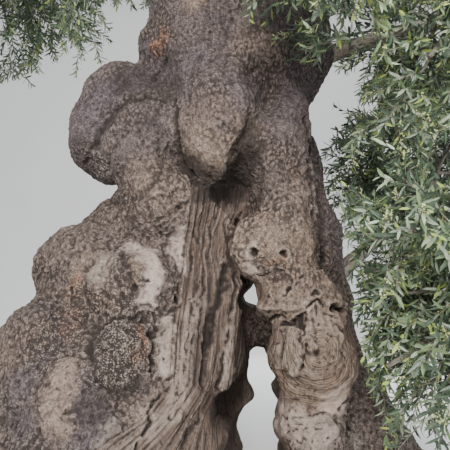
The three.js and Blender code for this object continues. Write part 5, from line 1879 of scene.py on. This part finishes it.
def trunk_material(colours):
    """Burled bark: patches of tan, rust and violet, grey wood, painted shade in dark cracks and hollows and
    painted highlights on pale raised tops.
    """
    graph = Graph("olive_trunk_bark")
    dark, light = colours.bark_dark, colours.bark_light
    broad = graph.noise(4.0, 4.0, 0.6)
    coarse = graph.noise(26.0, 5.0, 0.65)
    fine = graph.noise(120.0, 4.0, 0.7)
    speck = graph.noise(330.0, 2.0, 0.6)
    flakes = graph.grains(62.0, graph.stretched((1.0, 1.0, 0.7)))
    grit = graph.grains(125.0)

    colour = graph.mix(graph.span(coarse, 0.3, 0.6, 0.45, 1.0), dark, colours.bark)
    colour = graph.mix(graph.span(fine, 0.5, 0.8, 0.0, 0.65), colour, light)
    for name, strength in (("violet", 0.85), ("tan", 0.85), ("rust", 0.9), ("lichen", 0.85)):
        cover = graph.times(graph.attribute(name), graph.span(fine, 0.3, 0.62, 0.55, 1.0))
        tone = graph.mix(graph.span(coarse, 0.4, 0.75, 0.0, 0.3), getattr(colours, name), light)
        tone = graph.mix(graph.span(fine, 0.55, 0.3, 0.0, 0.6), tone, dark)
        colour = graph.mix(graph.times(cover, strength), colour, tone)
    warm = graph.span(broad, 0.5, 0.66, 0.0, 0.4)
    colour = graph.mix(warm, colour, graph.mix(graph.span(fine, 0.35, 0.65), dark, colours.tan))
    # Painted shade in the crevices between flakes and between grains, where the bump sinks; less of it on
    # the smooth tan faces
    crannies = graph.times(graph.span(flakes, 0.36, 0.66), graph.span(broad, 0.38, 0.62, 0.22, 0.9))
    colour = graph.mix(crannies, colour, dark)
    grit_shade_strength = graph.span(graph.attribute("tan"), 0.0, 1.0, 1.0, 0.45)
    colour = graph.mix(graph.times(grit_shade_strength, graph.span(grit, 0.4, 0.66, 0.0, 0.55)), colour, dark)
    colour = graph.mix(graph.span(fine, 0.44, 0.28, 0.0, 0.88), colour, dark)
    # Painted highlights on the tops of the grains
    glint = graph.times(graph.span(grit, 0.16, 0.05), graph.span(coarse, 0.46, 0.66, 0.0, 0.65))
    colour = graph.mix(glint, colour, light)
    # Grit patches: stronger painted shade between the grains and painted highlights on them
    gritty = graph.attribute("grit")
    colour = graph.mix(graph.times(gritty, graph.span(grit, 0.34, 0.58)), colour, dark)
    grains = graph.times(gritty, graph.span(grit, 0.34, 0.08, 0.0, 0.85))
    colour = graph.mix(grains, colour, light)

    # Bare wood and fibres: fine streaks that run with the grain
    across = graph.attribute("grain_across")
    height = graph.make("ShaderNodeSeparateXYZ", {0: graph.place}).outputs[2]
    grain = graph.make("ShaderNodeCombineXYZ", {0: across, 2: graph.times(height, 0.055)}).outputs[0]
    streaks = graph.noise(260.0, 4.0, 0.65, grain)
    bands = graph.noise(70.0, 3.0, 0.6, grain)
    fibre_tone = graph.mix(graph.span(streaks, 0.34, 0.6), dark, colours.fibre)
    fibre_tone = graph.mix(graph.span(streaks, 0.56, 0.74, 0.0, 0.55), fibre_tone, colours.wood)
    fibre_tone = graph.mix(graph.span(bands, 0.48, 0.34, 0.0, 0.6), fibre_tone, dark)
    colour = graph.mix(graph.times(graph.attribute("fibre"), 0.9), colour, fibre_tone)
    wood_tone = graph.mix(graph.span(coarse, 0.34, 0.66), colours.wood, light)
    wood_tone = graph.mix(graph.span(fine, 0.5, 0.28, 0.0, 0.75), wood_tone, colours.bark)
    cover = graph.times(graph.attribute("wood"), graph.span(coarse, 0.26, 0.52, 0.45, 1.0))
    colour = graph.mix(cover, colour, wood_tone)
    swirl_tone = graph.mix(graph.span(streaks, 0.36, 0.6), dark, colours.tan)
    swirl_tone = graph.mix(graph.span(streaks, 0.54, 0.72, 0.0, 0.8), swirl_tone, colours.wood)
    colour = graph.mix(graph.times(graph.attribute("swirl"), 0.6), colour, swirl_tone)

    # Painted shade in cracks and hollows, painted highlight on raised tops, less of it on the violet bark
    hollow = graph.attribute("hollow")
    wide = graph.attribute("hollow_wide")
    muted = graph.span(graph.attribute("violet"), 0.0, 1.0, 1.0, 0.35)
    top = graph.times(graph.span(hollow, -0.1, -0.8), graph.span(fine, 0.36, 0.66, 0.05, 0.55))
    top = graph.times(top, muted)
    colour = graph.mix(top, colour, light)
    pit = graph.times(graph.span(hollow, 0.03, 0.65), 0.78)
    colour = graph.mix(pit, colour, dark)
    colour = graph.mix(graph.span(wide, 0.1, 0.9, 0.0, 0.8), colour, dark)
    # Painted shade in grooves and holes
    crack = graph.times(graph.attribute("crack"), graph.span(coarse, 0.25, 0.6, 0.95, 0.55))
    colour = graph.mix(crack, colour, dark)
    # Painted shadow of the dark patches
    colour = graph.mix(graph.times(graph.attribute("dark"), 0.88), colour, dark)
    # Painted highlights: small pale specks
    specks = graph.times(graph.span(speck, 0.6, 0.74, 0.0, 0.35), muted)
    colour = graph.mix(specks, colour, light)

    calm = graph.span(graph.attribute("wood"), 0.0, 1.0, 1.0, 0.35)
    bump = graph.math("ADD", graph.times(coarse, 0.7), graph.times(fine, 0.6))
    bump = graph.math("SUBTRACT", bump, graph.times(flakes, 0.55))
    bump = graph.math("SUBTRACT", bump, graph.times(grit, 0.3))
    bump = graph.times(bump, calm)
    bump = graph.math("ADD", bump, graph.times(streaks, graph.times(graph.attribute("fibre"), 0.6)))
    return graph.finish(colour, graph.span(coarse, 0.3, 0.7, 0.96, 0.82), 0.25, bump, 0.009)


def limb_material(colours, name, lightness, bump_depth):
    """Grey-brown bark of boughs and twigs, streaked along them."""
    graph = Graph(name)
    grain = graph.attribute("grain", "Vector")
    streaks = graph.noise(70.0, 4.0, 0.6, graph.stretched((1.0, 1.0, 0.16), grain))
    patches = graph.noise(9.0, 4.0, 0.6)
    fine = graph.noise(190.0, 3.0, 0.65)
    colour = graph.mix(graph.span(streaks, 0.36, 0.64), colours.bark_dark, colours.bark)
    colour = graph.mix(graph.span(patches, 0.4, 0.62, 0.0, 0.65), colour, colours.lichen)
    pale = graph.span(fine, 0.42, 0.75, 0.05 * lightness, 0.65 * lightness)
    colour = graph.mix(pale, colour, colours.bark_light)
    # Painted shade in the furrows
    colour = graph.mix(graph.span(graph.attribute("furrow"), 0.25, 0.9, 0.0, 0.8), colour, colours.bark_dark)
    bump = graph.math("ADD", graph.times(streaks, 0.7), graph.times(fine, 0.3))
    return graph.finish(colour, 0.85, 0.3, bump, bump_depth)


# A leaf's darker parts against its colour
LEAF_SHADE = 0.62


def leaf_material(name, colour, roughness):
    """One leaf colour, a little uneven from place to place."""
    graph = Graph(name)
    shade = [value * LEAF_SHADE for value in colour]
    uneven = graph.noise(7.0, 3.0, 0.6)
    spots = graph.noise(160.0, 2.0, 0.5)
    tone = graph.mix(graph.span(uneven, 0.3, 0.7, 0.0, 0.45), colour, shade)
    tone = graph.mix(graph.span(spots, 0.35, 0.75, 0.0, 0.18), tone, shade)
    return graph.finish(tone, roughness, 0.45)


def plain_material(name, light, dark):
    """Pale, slightly cloudy studio paper."""
    graph = Graph(name)
    return graph.finish(graph.mix(graph.noise(0.6, 2.0, 0.5), light, dark), 0.95, 0.1)


# One operator for each piece, or group of like pieces

ALL_SIDES = [row[0] for row in MAIN_BOUGHS + UPPER_BOUGHS + SIDE_BOUGHS]
BOUGH_NODES = ["bough_" + side for side in ALL_SIDES]
FOLIAGE_NODES = ["foliage_" + side for side in ALL_SIDES]


class OLIVE_OT_trunk(bpy.types.Operator):
    """Hollow trunk with its burls, bark and fan of bare wood"""

    bl_idname = "olive.trunk"
    bl_label = "Trunk"

    def execute(self, context):
        settings = context.scene.olive_trunk
        cell = settings.cell * 1
        points, triangles, tones = trunk_mesh(cell, settings.relief)
        normals = point_normals(points, triangles)
        material = trunk_material(context.scene.olive_colours)
        from_left = np.argsort(points[triangles].mean(axis=1)[:, 0], kind="stable")
        add_pieces("trunk", points, triangles[from_left], material, ["trunk"], tones, normals)
        return {"FINISHED"}


class OLIVE_OT_boughs(bpy.types.Operator):
    """Main boughs, side boughs and the stems that run on from them"""

    bl_idname = "olive.boughs"
    bl_label = "Boughs"

    def execute(self, context):
        settings = context.scene.olive_trunk
        points, triangles, grain, furrow = limb_mesh(settings.limb_sides, settings.relief)
        material = limb_material(context.scene.olive_colours, "olive_bough_bark", 1.0, 0.004)
        add_pieces("boughs", points, triangles, material, BOUGH_NODES,
                   {"grain": grain, "furrow": furrow})
        return {"FINISHED"}


class OLIVE_OT_twigs(bpy.types.Operator):
    """Twigs and shoots of all masses"""

    bl_idname = "olive.twigs"
    bl_label = "Twigs"

    def execute(self, context):
        points, triangles, grain = twig_mesh()
        material = limb_material(context.scene.olive_colours, "olive_twig_bark", 0.8, 0.0008)
        add_pieces("twigs", points, triangles, material, FOLIAGE_NODES, {"grain": grain})
        return {"FINISHED"}


class OLIVE_OT_leaves(bpy.types.Operator):
    """Leaves of all masses, one piece for each colour"""

    bl_idname = "olive.leaves"
    bl_label = "Leaves"

    def execute(self, context):
        settings, colours = context.scene.olive_leaves, context.scene.olive_colours
        *rows, kinds, near = all_leaves(settings.length, settings.width, settings.spacing, settings.far_size)
        for number, kind in enumerate(LEAF_KINDS):
            meshes = []
            for leaf, chosen in ((FAR_LEAF, ~near), (NEAR_LEAF, near)):
                meshes.append(leaf_mesh(leaf, *[row[chosen & (kinds == number)] for row in rows]))
            points, triangles = gathered(meshes)
            roughness = 0.42 if kind == "dark" else 0.6
            material = leaf_material("olive_leaf_" + kind, getattr(colours, "leaf_" + kind), roughness)
            add_pieces("leaves_" + kind, points, triangles, material, FOLIAGE_NODES)
        return {"FINISHED"}


class OLIVE_OT_buds(bpy.types.Operator):
    """Clusters of flower buds on the lowest, nearest shoots"""

    bl_idname = "olive.buds"
    bl_label = "Buds"

    def execute(self, context):
        points, triangles = bud_mesh(context.scene.olive_leaves.bud)
        material = leaf_material("olive_bud", context.scene.olive_colours.bud, 0.6)
        sides = ["foliage_" + side for side in NEAR_SIDES]
        add_pieces("buds", points, triangles, material, sides)
        return {"FINISHED"}


# Studio: profile of the floor and backdrop, soft lights as place, aim, size and power
SWEEP_FRONT = -24.0
SWEEP_BACK = 14.0
SWEEP_CURVE = 5.0
SWEEP_TOP = 24.0
SWEEP_HALF_WIDTH = 40.0
LIGHTS = [
    ("key_light", (-1.2, -9.0, 4.0), (0.2, 0.0, 1.2), 3.0, 1600.0, (1.0, 0.965, 0.93)),
    ("fill_light", (4.5, -8.0, 3.0), (0.2, 0.0, 1.4), 6.0, 560.0, (0.93, 0.96, 1.0)),
    ("top_light", (0.0, -1.0, 14.0), (0.0, 0.0, 3.0), 10.0, 2000.0, (1.0, 1.0, 1.0)),
    ("back_light", (4.0, 8.0, 6.0), (0.0, 0.0, 3.0), 6.0, 700.0, (1.0, 1.0, 1.0)),
]
WORLD_LIGHT = (0.86, 0.9, 0.95)
WORLD_STRENGTH = 0.62


class OLIVE_OT_stage(bpy.types.Operator):
    """Pale floor and backdrop, soft lights and the camera at the photograph's place"""

    bl_idname = "olive.stage"
    bl_label = "Stage"

    def execute(self, context):
        scene = context.scene
        turn = np.linspace(0, np.pi / 2, 17)
        profile = [(SWEEP_FRONT, 0.0)]
        profile += [(SWEEP_BACK - SWEEP_CURVE + SWEEP_CURVE * math.sin(a), SWEEP_CURVE * (1 - math.cos(a)))
                    for a in turn]
        profile += [(SWEEP_BACK, SWEEP_TOP)]
        mesh = bpy.data.meshes.new("studio_sweep")
        rows = [(side * SWEEP_HALF_WIDTH, y, z) for y, z in profile for side in (-1, 1)]
        faces = [(2 * i, 2 * i + 1, 2 * i + 3, 2 * i + 2) for i in range(len(profile) - 1)]
        mesh.from_pydata(rows, [], faces)
        mesh.shade_smooth()
        mesh.materials.append(plain_material("studio_paper", (0.74, 0.74, 0.73), (0.7, 0.705, 0.7)))
        sweep = bpy.data.objects.new("studio_sweep", mesh)
        scene.collection.objects.link(sweep)
        for name, place, aim, size, power, colour in LIGHTS:
            light = bpy.data.lights.new(name, "AREA")
            light.size = size
            light.energy = power
            light.color = colour
            lamp = bpy.data.objects.new(name, light)
            lamp.location = place
            lamp.rotation_euler = (Vector(aim) - Vector(place)).to_track_quat("-Z", "Y").to_euler()
            scene.collection.objects.link(lamp)
        world = scene.world or bpy.data.worlds.new("studio_world")
        scene.world = world
        world.use_nodes = True
        background = world.node_tree.nodes["Background"]
        background.inputs["Color"].default_value = (*WORLD_LIGHT, 1)
        background.inputs["Strength"].default_value = WORLD_STRENGTH
        lens = bpy.data.cameras.new("photo_camera")
        lens.sensor_width = 36.0
        lens.angle = CAMERA_FIELD
        lens.clip_end = 200.0
        camera = bpy.data.objects.new("photo_camera", lens)
        camera.location = EYE
        camera.rotation_euler = (math.pi / 2 + CAMERA_PITCH, 0, 0)
        scene.collection.objects.link(camera)
        scene.camera = camera
        return {"FINISHED"}


class OLIVE_PT_panel(bpy.types.Panel):
    """Buttons for the pieces and their settings"""

    bl_idname = "OLIVE_PT_panel"
    bl_label = "Old Olive Tree"
    bl_space_type = "VIEW_3D"
    bl_region_type = "UI"
    bl_category = "Olive"

    def draw(self, context):
        layout = self.layout
        for name in ("olive_trunk", "olive_leaves", "olive_colours"):
            settings = getattr(context.scene, name)
            for label in settings.bl_rna.properties.keys():
                if label not in ("rna_type", "name"):
                    layout.prop(settings, label)
        for operator in OPERATORS:
            layout.operator(operator.bl_idname)


OPERATORS = (OLIVE_OT_trunk, OLIVE_OT_boughs, OLIVE_OT_twigs, OLIVE_OT_leaves, OLIVE_OT_buds, OLIVE_OT_stage)
CLASSES = (OliveTrunkSettings, OliveLeafSettings, OliveColourSettings, *OPERATORS, OLIVE_PT_panel)


def register():
    for cls in CLASSES:
        bpy.utils.register_class(cls)
    bpy.types.Scene.olive_trunk = bpy.props.PointerProperty(type=OliveTrunkSettings)
    bpy.types.Scene.olive_leaves = bpy.props.PointerProperty(type=OliveLeafSettings)
    bpy.types.Scene.olive_colours = bpy.props.PointerProperty(type=OliveColourSettings)


def unregister():
    del bpy.types.Scene.olive_trunk
    del bpy.types.Scene.olive_leaves
    del bpy.types.Scene.olive_colours
    for cls in reversed(CLASSES):
        bpy.utils.unregister_class(cls)


def main():
    register()
    bpy.ops.olive.trunk()
    bpy.ops.olive.boughs()
    bpy.ops.olive.twigs()
    bpy.ops.olive.leaves()
    bpy.ops.olive.buds()
    bpy.ops.olive.stage()


if __name__ == "__main__":
    main()
